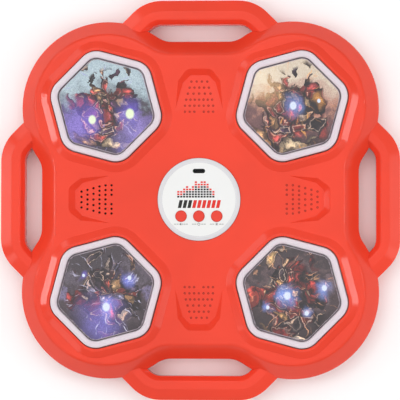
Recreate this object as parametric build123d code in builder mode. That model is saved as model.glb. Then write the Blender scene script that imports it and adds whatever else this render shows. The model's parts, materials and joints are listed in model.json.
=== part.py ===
from build123d import *
import os
from math import atan, cos, degrees, radians, sin, sqrt, tan

os.makedirs("parts", exist_ok=True)

# A boxing punch machine that lies on its back: X to the right, Y up its face, Z out of its face.
# The origin is on the surface it rests on, under the middle of the face. Sizes are in millimetres.

# Plan of the casing: a round lobe about each pad, with straight sides between them
pad_pitch = 184.6           # between the centres of neighbouring pads
lobe_radius = 86.6
side_setback = 20.1         # from a lobe's outermost point in to the straight side
side_blend = 25.0           # concave round from a straight side into a lobe

# Carrying handles, one past each straight side
grip_gap = 17.2             # hand gap between the side and the bar
bar_width = 24.0
bar_flat = 77.6             # straight length of the bar's outer edge
bar_corner = 40.0
bar_root = 9.0              # how far a bar's legs run into the body
bar_outer_slope = 11.3      # width of the bar's outward slope
bar_inner_slope = 4.6
bar_round = 3.0

# Levels above the surface that the machine lies on
foot_drop = 1.5             # the feet stand this proud of the back
back_depth = 14.5           # from the back to the line where the casings part
shoulder_height = 6.0       # upright edge of the front casing
flank_rise = 18.0           # from the upright edge to the flat face
flank_run = 15.0
bar_rise = 5.5              # from the upright edge to the top of a bar
wall = 2.2
edge_round = 3.0            # back casing's outer edge
parting_step = 0.5          # the back casing stands in from the front one
tongue_root = 4.0
tongue_rise = 2.5
tongue_gap = 0.2
tongue_wall = 1.6
rib_wall = 1.6
rib_height = 6.0
face_round = 5.0            # between the flank and the face
shoulder_round = 3.0

# Pads
pad_across = 102.4          # across the flats of the hexagonal rim
pad_corner = 19.5
pad_turn = 15.0             # each pad's hexagon is turned towards the middle
rim_width = 6.6             # translucent border around the printed face
pad_stand = 8.0             # top of the rim above the face
pad_travel = 3.0
pad_gap = 1.0               # around the rim
rim_round = 2.2
tray_wall = 2.4
tray_floor = 2.0
foam_depth = 8.5
skin_depth = 1.0
skin_sink = 0.8             # the printed skin lies this far below the rim's top
lip_width = 3.4             # flange that holds the pad in its well
lip_depth = 2.0
stop_gap = 0.3
soft_gap = 0.3              # around the foam and the skin

# Raised collar around each pad
collar_land = 3.8           # from the rim out to the end of the collar's flat top
collar_slope = 6.7
collar_rise = 4.0
collar_round = 1.0
skirt_wall = 2.0
skirt_drop = 8.0            # the skirt's lower edge below the pad's floor

# Sunken grilles between the pads
scoop_start = 89.0          # where a scoop leaves the face, from the middle
scoop_length = 41.0
scoop_half_width = 23.8
scoop_shoulder = 29.0       # from its start to where its sides turn in
scoop_shoulder_half_width = 21.0
scoop_end_half_width = 12.0
scoop_end_round = 8.0
scoop_depth = 6.0
scoop_margin = 2.0
hole_diameter = 2.2
hole_counts = (4, 5, 5, 7, 7, 7)
hole_row_pitch = 6.1
hole_row_inset = 12.5       # last row, back from the scoop's outer end
first_row_width = 15.8
row_widening = 3.35
widest_row = 28.0
dimple_depth = 0.9
hole_tool_height = 6.0

# Control disc in the middle of the face
disc_diameter = 82.0
disc_rise = 2.0             # flat top above the face
disc_bevel = 3.2
disc_bevel_drop = 1.4
disc_plate = 2.0
disc_seat = 2.4             # ledge below the face
disc_gap = 0.4
ledge_width = 7.0
dish_width = 5.0
dish_depth = 0.8
overlay_depth = 0.25
overlay_inset = 1.2
spigot_wall = 2.0
spigot_depth = 3.0
spigot_gap = 0.2
overlay_gap = 0.1
disc_edge_round = 0.5

# Buttons and the charging socket
button_diameter = 11.0
button_pitch = 17.7
button_row = -16.7          # from the disc's centre
button_proud = 1.2
button_travel = 0.8
button_gap = 0.3
button_flange = 1.3
button_flange_depth = 1.6
button_stem_diameter = 4.0
button_round = 0.8
switch_gap = 0.05           # left between a pressed key and its switch
window_length = 12.4
window_height = 4.4
window_row = 28.1
socket_length = 8.94
socket_height = 3.26
socket_sink = 0.8           # its mouth below the disc's flat top
socket_shell_depth = 7.3
socket_wall = 0.35
socket_base_width = 11.0
socket_base_height = 5.0
tongue_length = 6.4
tongue_height = 0.7
tongue_sink = 0.8

# Main board behind the disc
board_depth = 1.6
board_margin = 5.5          # from its screws out to its edges
board_corner = 4.0
board_drop = 12.0           # its upper face below the casing's face
ledge_boss_gap = 0.5        # from the disc's ledge out to the board's screw posts
chip_place = (4.0, 6.0)
amplifier_place = (-18.0, 8.0)
chip_side = 11.0
chip_height = 1.4
board_lead_place = 24.0     # where each pad's lead leaves the board, along X and along Y
switch_size = 6.0
switch_height = 3.6
plunger_diameter = 3.2
plunger_height = 0.9

# Boards, springs and switches under the pads
board_post_gap = 1.5        # from the board's corners out to the spring posts
led_board_corner = 4.0
led_board_lift = 12.5       # underside above the back casing's inner floor
led_count = 6
led_inset = 7.0             # in from the board's flats
led_size = 5.0
led_height = 1.6
led_screw_inset = 5.0       # in from the board's flats
pad_switch_height = 7.0
pad_switch_size = 12.0
pad_plunger_diameter = 6.0
spring_clearance = 3.1      # from a spring out to the pad's inner wall
spring_coil = 8.4           # mean diameter
spring_wire = 1.0
spring_turns = 6
spring_gap = 0.05
spring_post_diameter = 12.0
spring_post_height = 8.5
spring_pin_diameter = 6.0
spring_pin_height = 5.0

# Speaker behind the left grille
speaker_side = 50.0
speaker_corner = 4.0
speaker_flange = 1.6
speaker_mouth_diameter = 46.0
speaker_basket_depth = 9.0
basket_base_diameter = 32.0
basket_wall = 1.0
magnet_diameter = 27.0
magnet_depth = 6.0
magnet_chamfer = 0.6
cone_wall = 0.8
cone_depth = 6.5
cone_cap_diameter = 14.0
cone_rim_inset = 2.6        # from the basket's mouth in to the cone
speaker_back = 14.0         # its axis beyond the inner end of the left grille
speaker_drop = 9.5          # its front below the casing's face
speaker_screw_reach = 21.0  # from its axis, along X and along Y
speaker_ring_wall = 2.5

# Battery in the lower half
cell_diameter = 18.4
cell_length = 65.0
cell_y = -104.0
cradle_wall = 2.0
strap_width = 12.0
strap_thickness = 1.8
strap_foot = 9.0
strap_boss_height = 8.0
cell_gap = 0.2
cell_end_round = 1.2
saddle_place = 22.0         # from the cell's middle
saddle_height = 7.0

# Fasteners and feet
screw_diameter = 3.0
screw_head_diameter = 5.6
screw_head_height = 2.0
screw_gap = 0.05            # around a shank in its hole
drive_length = 0.6          # of a head's diameter
drive_width = 0.25          # of a head's height
drive_depth = 0.5           # of a head's height
boss_diameter = 8.0
case_boss_ring = 75.0       # from a lobe's centre
case_boss_turn = 24.0       # each side of the diagonal
side_boss_inset = 10.0      # in from the straight side
case_screw_length = 18.0
case_hole_depth = 12.0      # in the front casing's bosses
speaker_hole_depth = 5.5
counterbore_diameter = 6.6
counterbore_depth = 7.0
clear_hole_gap = 0.25       # around a shank in the piece that it clamps
small_screw_diameter = 2.5
small_head_diameter = 4.6
small_head_height = 1.5
small_screw_length = 7.0
small_hole_depth = 6.0
small_boss_diameter = 7.0
foot_diameter = 16.0
foot_recess = 1.0
foot_gap = 0.2
foot_chamfer = 0.6
foot_offset = 35.7          # out from a lobe's centre, along X and along Y
keyhole_x = 38.0
keyhole_inset = 24.8        # in from the upper straight side
keyhole_head_diameter = 9.0
keyhole_slot_width = 4.4
keyhole_slot_length = 9.0
keyhole_pocket_depth = 5.0
keyhole_margin = 2.5
hang_gap = 0.6             # around a hanging screw's head
lead_diameter = 2.0
lead_drop_bend = 2.8
lead_clearance = 0.5        # above the light chips that a lead passes over
led_lead_inset = 15.0       # from a pad's centre back to its lead, along X and along Y
speaker_lead_start = 30.0
speaker_terminal = 24.4     # from the speaker's axis to its lead
battery_lead_bend = 6.0
battery_lead_out = 9.0
battery_lead_turn = -30.0
battery_lead_end = 16.0

# Levels and places worked out from those sizes
lobe_centre = pad_pitch / 2
side_distance = lobe_centre + lobe_radius - side_setback
bar_reach = side_distance + grip_gap + bar_width
foot_reach = lobe_centre + foot_offset
keyhole_y = side_distance - keyhole_inset
back_level = foot_drop
floor_level = back_level + wall
parting_level = back_level + back_depth
shoulder_level = parting_level + shoulder_height
face_level = shoulder_level + flank_rise
ceiling_level = face_level - wall
bar_level = shoulder_level + bar_rise
collar_level = face_level + collar_rise
rim_level = face_level + pad_stand
skin_level = rim_level - skin_sink
foam_level = skin_level - skin_depth
tray_level = foam_level - foam_depth
tray_underside = tray_level - tray_floor
skirt_level = tray_underside - skirt_drop
lip_level = skirt_level - stop_gap
ledge_level = face_level - disc_seat
disc_level = face_level + disc_rise
disc_underside = disc_level - disc_plate
board_level = face_level - board_drop
socket_level = disc_level - socket_sink
led_board_level = floor_level + led_board_lift
spring_foot_level = floor_level + spring_post_height
speaker_level = face_level - speaker_drop
cell_level = floor_level + cell_diameter / 2
speaker_x = -scoop_start - speaker_back
well_inset = -pad_gap
skirt_inset = well_inset - skirt_wall
lip_inset = -lip_width
flat_radius = disc_diameter / 2 - disc_bevel
disc_hole_radius = disc_diameter / 2 + disc_gap
ledge_radius = disc_hole_radius - ledge_width
board_screw_reach = (ledge_radius + ledge_boss_gap + boss_diameter / 2) * cos(radians(45))
board_side = 2 * (board_screw_reach + board_margin)
spring_ring = pad_across / 2 - tray_wall - spring_clearance - (spring_coil + spring_wire) / 2
led_board_reach = spring_ring - spring_post_diameter / 2 - board_post_gap
led_board_across = 2 * led_board_reach * cos(radians(30))
led_ring = led_board_across / 2 - led_inset
led_screw_ring = led_board_across / 2 - led_screw_inset
cell_end = cell_length / 2 + cell_gap + cradle_wall / 2
plunger_foot = led_board_level + board_depth + pad_switch_height + pad_travel + switch_gap
spring_start = spring_foot_level + spring_gap + spring_wire / 2
lead_run_level = led_board_level + board_depth + led_height + lead_diameter / 2 + lead_clearance

pad_sides = {
    "top_left": (-1, 1),
    "top_right": (1, 1),
    "bottom_left": (-1, -1),
    "bottom_right": (1, -1),
}
case_boss_places = [
    (
        sx * (lobe_centre + case_boss_ring * cos(radians(45 + turn))),
        sy * (lobe_centre + case_boss_ring * sin(radians(45 + turn))),
    )
    for sx, sy in pad_sides.values()
    for turn in (-case_boss_turn, case_boss_turn)
]
board_screw_places = [(sx * board_screw_reach, sy * board_screw_reach) for sx, sy in pad_sides.values()]
button_xs = {"left": -button_pitch, "middle": 0.0, "right": button_pitch}
speaker_screw_places = [
    (speaker_x + sx * speaker_screw_reach, sy * speaker_screw_reach) for sx, sy in pad_sides.values()
]
side_boss_reach = side_distance - side_boss_inset
case_boss_places += [(0, side_boss_reach), (0, -side_boss_reach)]
case_boss_places += [(side_boss_reach, 0), (-side_boss_reach, 0)]


def level(height):
    """A level plane at a height above the resting surface."""
    return Plane.XY.offset(height)


def body_plan(inset):
    """The body's outline drawn in by an inset: four lobes blended into straight sides."""
    lobe = lobe_radius - inset
    side = side_distance - inset
    blend = side_blend + inset
    rise = side + blend - lobe_centre
    blend_x = lobe_centre - sqrt((lobe + blend) ** 2 - rise**2)
    swing = atan((lobe_centre - blend_x) / rise)
    half_swing = swing / 2
    start = (blend_x, side)
    halfway = (blend_x + blend * sin(half_swing), side + blend - blend * cos(half_swing))
    joint = (blend_x + blend * sin(swing), side + blend - blend * cos(swing))
    crown = lobe_centre + lobe * cos(radians(45))
    with BuildSketch() as plan:
        with BuildLine():
            for quarter in range(4):
                turn = -90 * quarter
                corners = [Vector(*p).rotate(Axis.Z, turn) for p in (start, halfway, joint)]
                mirrored = [Vector(p[1], p[0]).rotate(Axis.Z, turn) for p in (joint, halfway, start)]
                Line(Vector(-blend_x, side).rotate(Axis.Z, turn), corners[0])
                ThreePointArc(*corners)
                ThreePointArc(corners[2], Vector(crown, crown).rotate(Axis.Z, turn), mirrored[0])
                ThreePointArc(*mirrored)
        make_face()
    return plan.sketch


def bar_plan(inset):
    """The upper handle's outline drawn in by an inset, closed off inside the body."""
    reach = bar_reach - inset
    corner = bar_corner - inset
    half = bar_flat / 2
    centre_y = bar_reach - bar_corner
    shoulder_x = half + corner * cos(radians(45))
    shoulder_y = centre_y + corner * sin(radians(45))
    root_y = side_distance - bar_root
    root_x = shoulder_x + shoulder_y - root_y
    mid_x = half + corner * sin(radians(22.5))
    mid_y = centre_y + corner * cos(radians(22.5))
    with BuildSketch() as plan:
        with BuildLine():
            Line((-half, reach), (half, reach))
            ThreePointArc((half, reach), (mid_x, mid_y), (shoulder_x, shoulder_y))
            Line((shoulder_x, shoulder_y), (root_x, root_y))
            Line((root_x, root_y), (-root_x, root_y))
            Line((-root_x, root_y), (-shoulder_x, shoulder_y))
            ThreePointArc((-shoulder_x, shoulder_y), (-mid_x, mid_y), (-half, reach))
        make_face()
    return plan.sketch


def hexagon_plan(inset, turn):
    """The pad's round-cornered hexagon, drawn in by an inset and turned."""
    with BuildSketch() as plan:
        RegularPolygon(pad_across / 2 - inset, 6, major_radius=False, rotation=turn)
        fillet(plan.vertices(), pad_corner - inset)
    return plan.sketch


def led_board_plan(turn):
    """The hexagonal board under a pad."""
    with BuildSketch() as plan:
        RegularPolygon(led_board_across / 2, 6, major_radius=False, rotation=turn)
        fillet(plan.vertices(), led_board_corner)
    return plan.sketch


def body_block(inset, low, shoulder, top, run):
    """A lobed block with upright sides up to a shoulder and a sloping flank to its top."""
    with BuildPart() as block:
        with BuildSketch(level(low)):
            add(body_plan(inset))
        extrude(amount=shoulder - low)
        with BuildSketch(level(shoulder)):
            add(body_plan(inset))
        with BuildSketch(level(top)):
            add(body_plan(inset + run))
        loft(ruled=True)
    return block


def bar_block(outer, inner, low, shoulder, top, outer_run, inner_run):
    """The upper handle as a bar between two insets of its outline, sloped above a shoulder."""
    with BuildPart() as block:
        with BuildSketch(level(low)):
            add(bar_plan(outer))
        extrude(amount=shoulder - low)
        with BuildSketch(level(shoulder)):
            add(bar_plan(outer))
        with BuildSketch(level(top)):
            add(bar_plan(outer + outer_run))
        loft(ruled=True)
        with BuildSketch(level(low)):
            add(bar_plan(inner))
        extrude(amount=shoulder - low, mode=Mode.SUBTRACT)
        with BuildSketch(level(shoulder)):
            add(bar_plan(inner))
        with BuildSketch(level(top)):
            add(bar_plan(inner - inner_run))
        loft(ruled=True, mode=Mode.SUBTRACT)
    return block


def scoop_tool(grow):
    """The space of the upper sunken grille above its sloping floor, drawn out by a wall."""
    flare = grow * sqrt(2)
    floor_end = scoop_length - scoop_depth
    fall = degrees(atan(scoop_depth / floor_end))
    depth = scoop_depth + grow + scoop_margin
    with BuildPart() as tool:
        with BuildSketch(level(face_level)):
            with BuildLine():
                Polyline(
                    (-scoop_half_width - flare, scoop_start - scoop_margin),
                    (-scoop_shoulder_half_width - flare, scoop_start + scoop_shoulder),
                    (-scoop_end_half_width - flare / 2, scoop_start + scoop_length + flare),
                    (scoop_end_half_width + flare / 2, scoop_start + scoop_length + flare),
                    (scoop_shoulder_half_width + flare, scoop_start + scoop_shoulder),
                    (scoop_half_width + flare, scoop_start - scoop_margin),
                    close=True,
                )
            face = make_face()
            fillet(face.vertices().group_by(Axis.Y)[-1], scoop_end_round + grow)
        extrude(amount=-depth, taper=45)
        floor = Plane((0, scoop_start, face_level - grow), x_dir=(1, 0, 0)).rotated((-fall, 0, 0))
        split(bisect_by=floor, keep=Keep.TOP)
    return tool


def boss_columns(places, diameter, low, height):
    """Round posts at a list of places."""
    with BuildPart() as columns:
        with BuildSketch(level(low)):
            with Locations(*places):
                Circle(diameter / 2)
        extrude(amount=height)
    return columns


def screws(places, seat, length, diameter, head_diameter, head_height, up):
    """Pan-head screws whose heads sit on a seat, with their shanks pointing up or down."""
    way = 1 if up else -1
    with BuildPart() as group:
        with BuildSketch(level(seat)):
            with Locations(*places):
                Circle(head_diameter / 2)
        extrude(amount=-way * head_height)
        with BuildSketch(level(seat)):
            with Locations(*places):
                Circle(diameter / 2)
        extrude(amount=way * length)
        drive = level(seat - way * head_height)
        with BuildSketch(drive):
            with Locations(*places):
                Rectangle(head_diameter * drive_length, head_height * drive_width)
                Rectangle(head_height * drive_width, head_diameter * drive_length)
        extrude(amount=way * head_height * drive_depth, mode=Mode.SUBTRACT)
    return group


def round_bar(points, bend, diameter):
    """A lead of round section along straight runs joined by arcs."""
    with BuildPart() as tube:
        with BuildLine() as route:
            FilletPolyline(*points, radius=bend)
        with BuildSketch(Plane(origin=route.line @ 0, z_dir=route.line % 0)):
            Circle(diameter / 2)
        sweep()
    return tube


def save(piece, name):
    """Label a finished piece and write it to its own file."""
    piece.label = name
    export_step(piece, f"parts/{name}.step")


# Front casing

flank_lean = atan(flank_run / flank_rise)
inner_shoulder = shoulder_level - wall * tan(flank_lean / 2)
inner_run = flank_run - wall + wall * tan(radians(45) - flank_lean / 2)

outer_body = body_block(0, parting_level, shoulder_level, face_level, flank_run)
with BuildPart() as front_skin:
    add(outer_body)
    fillet(front_skin.faces().sort_by(Axis.Z)[-1].edges(), face_round)
    flat_edges = front_skin.edges().filter_by_position(Axis.Z, shoulder_level, shoulder_level)
    fillet(flat_edges, shoulder_round)

with BuildPart() as front_bar:
    add(
        bar_block(
            0, bar_width, parting_level, shoulder_level, bar_level, bar_outer_slope, bar_inner_slope
        )
    )
    bar_top_edges = front_bar.edges().filter_by_position(Axis.Z, bar_level, bar_level)
    fillet(bar_top_edges, bar_round)

with BuildPart() as collars:
    for sx, sy in pad_sides.values():
        turn = pad_turn * sx * sy
        with BuildSketch(Plane((sx * lobe_centre, sy * lobe_centre, face_level))):
            add(hexagon_plan(-collar_land - collar_slope, turn))
        with BuildSketch(Plane((sx * lobe_centre, sy * lobe_centre, collar_level))):
            add(hexagon_plan(-collar_land, turn))
        loft(ruled=True)
    fillet(collars.edges().filter_by_position(Axis.Z, collar_level, collar_level), collar_round)

scoop = scoop_tool(0)
scoop_wall = scoop_tool(wall)
bar_cavity = bar_block(
    wall,
    bar_width - wall,
    parting_level,
    shoulder_level - wall / 2,
    bar_level - wall,
    bar_outer_slope,
    bar_inner_slope,
)

with BuildPart() as front_cavity:
    add(body_block(wall, parting_level, inner_shoulder, ceiling_level, inner_run))
    with PolarLocations(0, 4):
        add(bar_cavity)
    # walls and posts that are left standing inside
    for sx, sy in pad_sides.values():
        turn = pad_turn * sx * sy
        with BuildSketch(Plane((sx * lobe_centre, sy * lobe_centre, skirt_level))):
            add(hexagon_plan(skirt_inset, turn))
        extrude(amount=face_level - skirt_level, mode=Mode.SUBTRACT)
    with PolarLocations(0, 4):
        add(scoop_wall, mode=Mode.SUBTRACT)
    for places, diameter, foot in (
        (case_boss_places, boss_diameter, parting_level),
        (board_screw_places, boss_diameter, board_level),
        (speaker_screw_places, small_boss_diameter, speaker_level),
    ):
        add(boss_columns(places, diameter, foot, face_level - foot), mode=Mode.SUBTRACT)
    with BuildSketch(level(speaker_level)):
        with Locations((speaker_x, 0)):
            Circle(speaker_mouth_diameter / 2 + speaker_ring_wall)
            Circle(speaker_mouth_diameter / 2, mode=Mode.SUBTRACT)
    extrude(amount=speaker_drop, mode=Mode.SUBTRACT)
    with BuildSketch(level(ledge_level - wall)):
        Circle(disc_hole_radius + wall)
    extrude(amount=disc_seat + wall, mode=Mode.SUBTRACT)

with BuildPart() as grille_holes:
    for row, count in enumerate(hole_counts):
        row_y = scoop_start + scoop_length - hole_row_inset - row * hole_row_pitch
        row_width = min(first_row_width + row * row_widening, widest_row)
        row_floor = face_level - max(0, row_y - scoop_start) * scoop_depth / (scoop_length - scoop_depth)
        gap_row = row == len(hole_counts) - 1
        for hole in range(count):
            hole_x = row_width * (hole / (count - 1) - 0.5)
            if gap_row and abs(hole_x) < hole_diameter:
                continue
            with Locations((hole_x, row_y, row_floor - dimple_depth)):
                Cylinder(hole_diameter / 2, hole_tool_height, align=(Align.CENTER, Align.CENTER, Align.MIN))

with BuildPart() as front_casing:
    add(front_skin)
    with PolarLocations(0, 4):
        add(front_bar)
    add(collars)
    add(front_cavity, mode=Mode.SUBTRACT)
    with PolarLocations(0, 4):
        add(scoop, mode=Mode.SUBTRACT)
    # wells that the pads slide in
    for sx, sy in pad_sides.values():
        turn = pad_turn * sx * sy
        with BuildSketch(Plane((sx * lobe_centre, sy * lobe_centre, parting_level))):
            add(hexagon_plan(well_inset, turn))
        extrude(amount=collar_level - parting_level, mode=Mode.SUBTRACT)
    # seat for the control disc, with a shallow dish around it
    with BuildSketch(level(ledge_level)):
        Circle(disc_hole_radius)
    extrude(amount=disc_seat, mode=Mode.SUBTRACT)
    with BuildSketch(level(parting_level)):
        Circle(ledge_radius)
    extrude(amount=face_level - parting_level, mode=Mode.SUBTRACT)
    with BuildSketch(level(face_level - dish_depth)):
        Circle(disc_hole_radius)
    with BuildSketch(level(face_level)):
        Circle(disc_hole_radius + dish_width)
    loft(mode=Mode.SUBTRACT)
    with PolarLocations(0, 4):
        add(grille_holes, mode=Mode.SUBTRACT)
    # sound holes open right through to the speaker
    with Locations(Plane.XY.rotated((0, 0, 90))):
        add(grille_holes.part.moved(Location((0, 0, -wall - dimple_depth))), mode=Mode.SUBTRACT)
    with BuildSketch(level(parting_level)):
        with Locations(*case_boss_places):
            Circle(screw_diameter / 2 + screw_gap)
    extrude(amount=case_hole_depth, mode=Mode.SUBTRACT)
    with BuildSketch(level(board_level)):
        with Locations(*board_screw_places):
            Circle(small_screw_diameter / 2 + screw_gap)
    extrude(amount=small_screw_length, mode=Mode.SUBTRACT)
    with BuildSketch(level(speaker_level)):
        with Locations(*speaker_screw_places):
            Circle(small_screw_diameter / 2 + screw_gap)
    extrude(amount=speaker_hole_depth, mode=Mode.SUBTRACT)

save(front_casing.part, "front_casing")


# Back casing

back_inset = parting_step
back_inner = parting_step + wall

with BuildPart() as back_bar:
    with BuildSketch(level(back_level)):
        add(bar_plan(back_inset))
    extrude(amount=back_depth)
    with BuildSketch(level(back_level)):
        add(bar_plan(bar_width - back_inset))
    extrude(amount=back_depth, mode=Mode.SUBTRACT)
    fillet(back_bar.edges().filter_by_position(Axis.Z, back_level, back_level), edge_round)

with BuildPart() as back_bar_cavity:
    with BuildSketch(level(floor_level)):
        add(bar_plan(back_inner))
        add(bar_plan(bar_width - back_inner), mode=Mode.SUBTRACT)
    extrude(amount=parting_level - floor_level)

with BuildPart() as keyholes:
    for side in (-1, 1):
        with BuildSketch(level(back_level)):
            with Locations((side * keyhole_x, keyhole_y)):
                Circle(keyhole_head_diameter / 2)
            with Locations((side * keyhole_x, keyhole_y + keyhole_slot_length / 2)):
                SlotCenterToCenter(keyhole_slot_length, keyhole_slot_width, rotation=90)
        extrude(amount=wall)
        with BuildSketch(level(floor_level)):
            with Locations((side * keyhole_x, keyhole_y + keyhole_slot_length / 2)):
                SlotCenterToCenter(keyhole_slot_length, keyhole_head_diameter + hang_gap, rotation=90)
        extrude(amount=keyhole_pocket_depth)

spring_places = {
    name: [
        (
            sx * lobe_centre + spring_ring * cos(radians(angle)),
            sy * lobe_centre + spring_ring * sin(radians(angle)),
        )
        for angle in (0, 90, 180, 270)
    ]
    for name, (sx, sy) in pad_sides.items()
}
led_screw_places = {
    name: [
        (
            sx * lobe_centre + led_screw_ring * cos(radians(angle)),
            sy * lobe_centre + led_screw_ring * sin(radians(angle)),
        )
        for angle in (0, 120, 240)
    ]
    for name, (sx, sy) in pad_sides.items()
}
all_spring_places = [place for places in spring_places.values() for place in places]
all_led_screw_places = [place for places in led_screw_places.values() for place in places]
strap_reach = cell_diameter / 2 + cell_gap + strap_thickness + strap_foot / 2
strap_places = [(0, cell_y - strap_reach), (0, cell_y + strap_reach)]
foot_places = [(sx * foot_reach, sy * foot_reach) for sx, sy in pad_sides.values()]

with BuildPart() as back_casing:
    with BuildSketch(level(back_level)):
        add(body_plan(back_inset))
    extrude(amount=back_depth)
    fillet(back_casing.edges().filter_by_position(Axis.Z, back_level, back_level), edge_round)
    with PolarLocations(0, 4):
        add(back_bar)
    with BuildSketch(level(floor_level)):
        add(body_plan(back_inner))
    extrude(amount=parting_level - floor_level, mode=Mode.SUBTRACT)
    with PolarLocations(0, 4):
        add(back_bar_cavity, mode=Mode.SUBTRACT)
    # tongue that locates the front casing
    with BuildSketch(level(parting_level - tongue_root)):
        add(body_plan(wall + tongue_gap))
        add(body_plan(wall + tongue_gap + tongue_wall), mode=Mode.SUBTRACT)
    extrude(amount=tongue_root + tongue_rise)
    # posts for the casing screws, the pads' boards and springs, and the battery strap
    add(boss_columns(case_boss_places, boss_diameter + wall, floor_level, parting_level - floor_level))
    add(boss_columns(all_led_screw_places, small_boss_diameter, floor_level, led_board_lift))
    add(boss_columns(all_spring_places, spring_post_diameter, floor_level, spring_post_height))
    add(boss_columns(all_spring_places, spring_pin_diameter, spring_foot_level, spring_pin_height))
    add(boss_columns(strap_places, small_boss_diameter, floor_level, strap_boss_height))
    # stiffening ribs around each pad's board and out to the screw posts
    for sx, sy in pad_sides.values():
        with BuildSketch(Plane((sx * lobe_centre, sy * lobe_centre, floor_level))):
            Circle(spring_ring + rib_wall / 2)
            Circle(spring_ring - rib_wall / 2, mode=Mode.SUBTRACT)
            with PolarLocations(0, 4):
                Rectangle(spring_ring, rib_wall, align=(Align.MIN, Align.CENTER))
        extrude(amount=rib_height)
    # saddles and end stops for the battery
    with BuildSketch(level(floor_level)):
        with Locations((-saddle_place, cell_y), (saddle_place, cell_y)):
            Rectangle(cradle_wall, cell_diameter + 2 * cradle_wall)
        with Locations((-cell_end, cell_y), (cell_end, cell_y)):
            Rectangle(cradle_wall, cell_diameter)
    extrude(amount=saddle_height)
    with BuildSketch(Plane.YZ.offset(-cell_length / 2 - cell_gap)):
        with Locations((cell_y, cell_level + cell_gap)):
            Circle(cell_diameter / 2 + cell_gap)
    extrude(amount=cell_length + 2 * cell_gap, mode=Mode.SUBTRACT)
    # blind pockets over the keyholes
    with BuildSketch(level(floor_level)):
        with Locations(
            (-keyhole_x, keyhole_y + keyhole_slot_length / 2),
            (keyhole_x, keyhole_y + keyhole_slot_length / 2),
        ):
            SlotCenterToCenter(
                keyhole_slot_length, keyhole_head_diameter + 2 * keyhole_margin, rotation=90
            )
    extrude(amount=keyhole_pocket_depth + rib_wall)
    add(keyholes, mode=Mode.SUBTRACT)
    # seats for the feet
    with BuildSketch(level(back_level)):
        with Locations(*foot_places):
            Circle(foot_diameter / 2 + foot_gap)
    extrude(amount=foot_recess, mode=Mode.SUBTRACT)
    # screw holes
    with BuildSketch(level(back_level)):
        with Locations(*case_boss_places):
            Circle(counterbore_diameter / 2)
    extrude(amount=counterbore_depth, mode=Mode.SUBTRACT)
    with BuildSketch(level(back_level)):
        with Locations(*case_boss_places):
            Circle(screw_diameter / 2 + clear_hole_gap)
    extrude(amount=back_depth, mode=Mode.SUBTRACT)
    with BuildSketch(level(led_board_level - small_hole_depth)):
        with Locations(*all_led_screw_places):
            Circle(small_screw_diameter / 2 + screw_gap)
    extrude(amount=small_hole_depth, mode=Mode.SUBTRACT)
    with BuildSketch(level(floor_level + strap_boss_height - small_hole_depth)):
        with Locations(*strap_places):
            Circle(small_screw_diameter / 2 + screw_gap)
    extrude(amount=small_hole_depth, mode=Mode.SUBTRACT)

save(back_casing.part, "back_casing")

with BuildPart() as casing_screws:
    add(
        screws(
            case_boss_places,
            back_level + counterbore_depth,
            case_screw_length,
            screw_diameter,
            screw_head_diameter,
            screw_head_height,
            up=True,
        )
    )
save(casing_screws.part, "casing_screws")

with BuildPart() as rubber_feet:
    with BuildSketch(level(0)):
        with Locations(*foot_places):
            Circle(foot_diameter / 2)
    extrude(amount=foot_drop + foot_recess)
    chamfer(rubber_feet.edges().filter_by_position(Axis.Z, 0, 0), foot_chamfer)
save(rubber_feet.part, "rubber_feet")


# Control disc with its printed overlay and buttons

with BuildPart() as control_disc:
    with BuildSketch(Plane.XZ):
        with BuildLine():
            Polyline(
                (0, disc_level - overlay_depth),
                (flat_radius - overlay_inset, disc_level - overlay_depth),
                (flat_radius - overlay_inset, disc_level),
                (flat_radius, disc_level),
                (disc_diameter / 2, disc_level - disc_bevel_drop),
                (disc_diameter / 2, ledge_level),
                (ledge_radius - spigot_gap, ledge_level),
                (ledge_radius - spigot_gap, ledge_level - spigot_depth),
                (ledge_radius - spigot_gap - spigot_wall, ledge_level - spigot_depth),
                (ledge_radius - spigot_gap - spigot_wall, disc_underside),
                (0, disc_underside),
                close=True,
            )
        make_face()
    revolve(axis=Axis.Z)
    bevel_foot = disc_level - disc_bevel_drop
    fillet(control_disc.edges().filter_by_position(Axis.Z, bevel_foot, bevel_foot), disc_edge_round)
    with BuildSketch(level(disc_underside)):
        with Locations(*[(x, button_row) for x in button_xs.values()]):
            Circle(button_diameter / 2 + button_gap)
        with Locations((0, window_row)):
            SlotOverall(window_length, window_height)
    extrude(amount=disc_plate, mode=Mode.SUBTRACT)
save(control_disc.part, "control_disc")

with BuildPart() as panel_overlay:
    with BuildSketch(level(disc_level - overlay_depth)):
        Circle(flat_radius - overlay_inset - overlay_gap)
        with Locations(*[(x, button_row) for x in button_xs.values()]):
            Circle(button_diameter / 2 + button_gap, mode=Mode.SUBTRACT)
        with Locations((0, window_row)):
            SlotOverall(window_length, window_height, mode=Mode.SUBTRACT)
    extrude(amount=overlay_depth)
save(panel_overlay.part, "panel_overlay")

flange_top = disc_underside - stop_gap
stem_foot = board_level + switch_height + plunger_height + button_travel + switch_gap
for side, button_x in button_xs.items():
    with BuildPart() as button:
        with BuildSketch(Plane((button_x, button_row, flange_top - button_flange_depth))):
            Circle(button_diameter / 2 + button_flange)
        extrude(amount=button_flange_depth)
        with BuildSketch(Plane((button_x, button_row, flange_top))):
            Circle(button_diameter / 2)
        extrude(amount=disc_level + button_proud - flange_top)
        fillet(button.edges().sort_by(Axis.Z)[-1], button_round)
        with BuildSketch(Plane((button_x, button_row, stem_foot))):
            Circle(button_stem_diameter / 2)
        extrude(amount=flange_top - button_flange_depth - stem_foot)
    save(button.part, f"button_{side}")


# Main board, its switches and the charging socket

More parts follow.
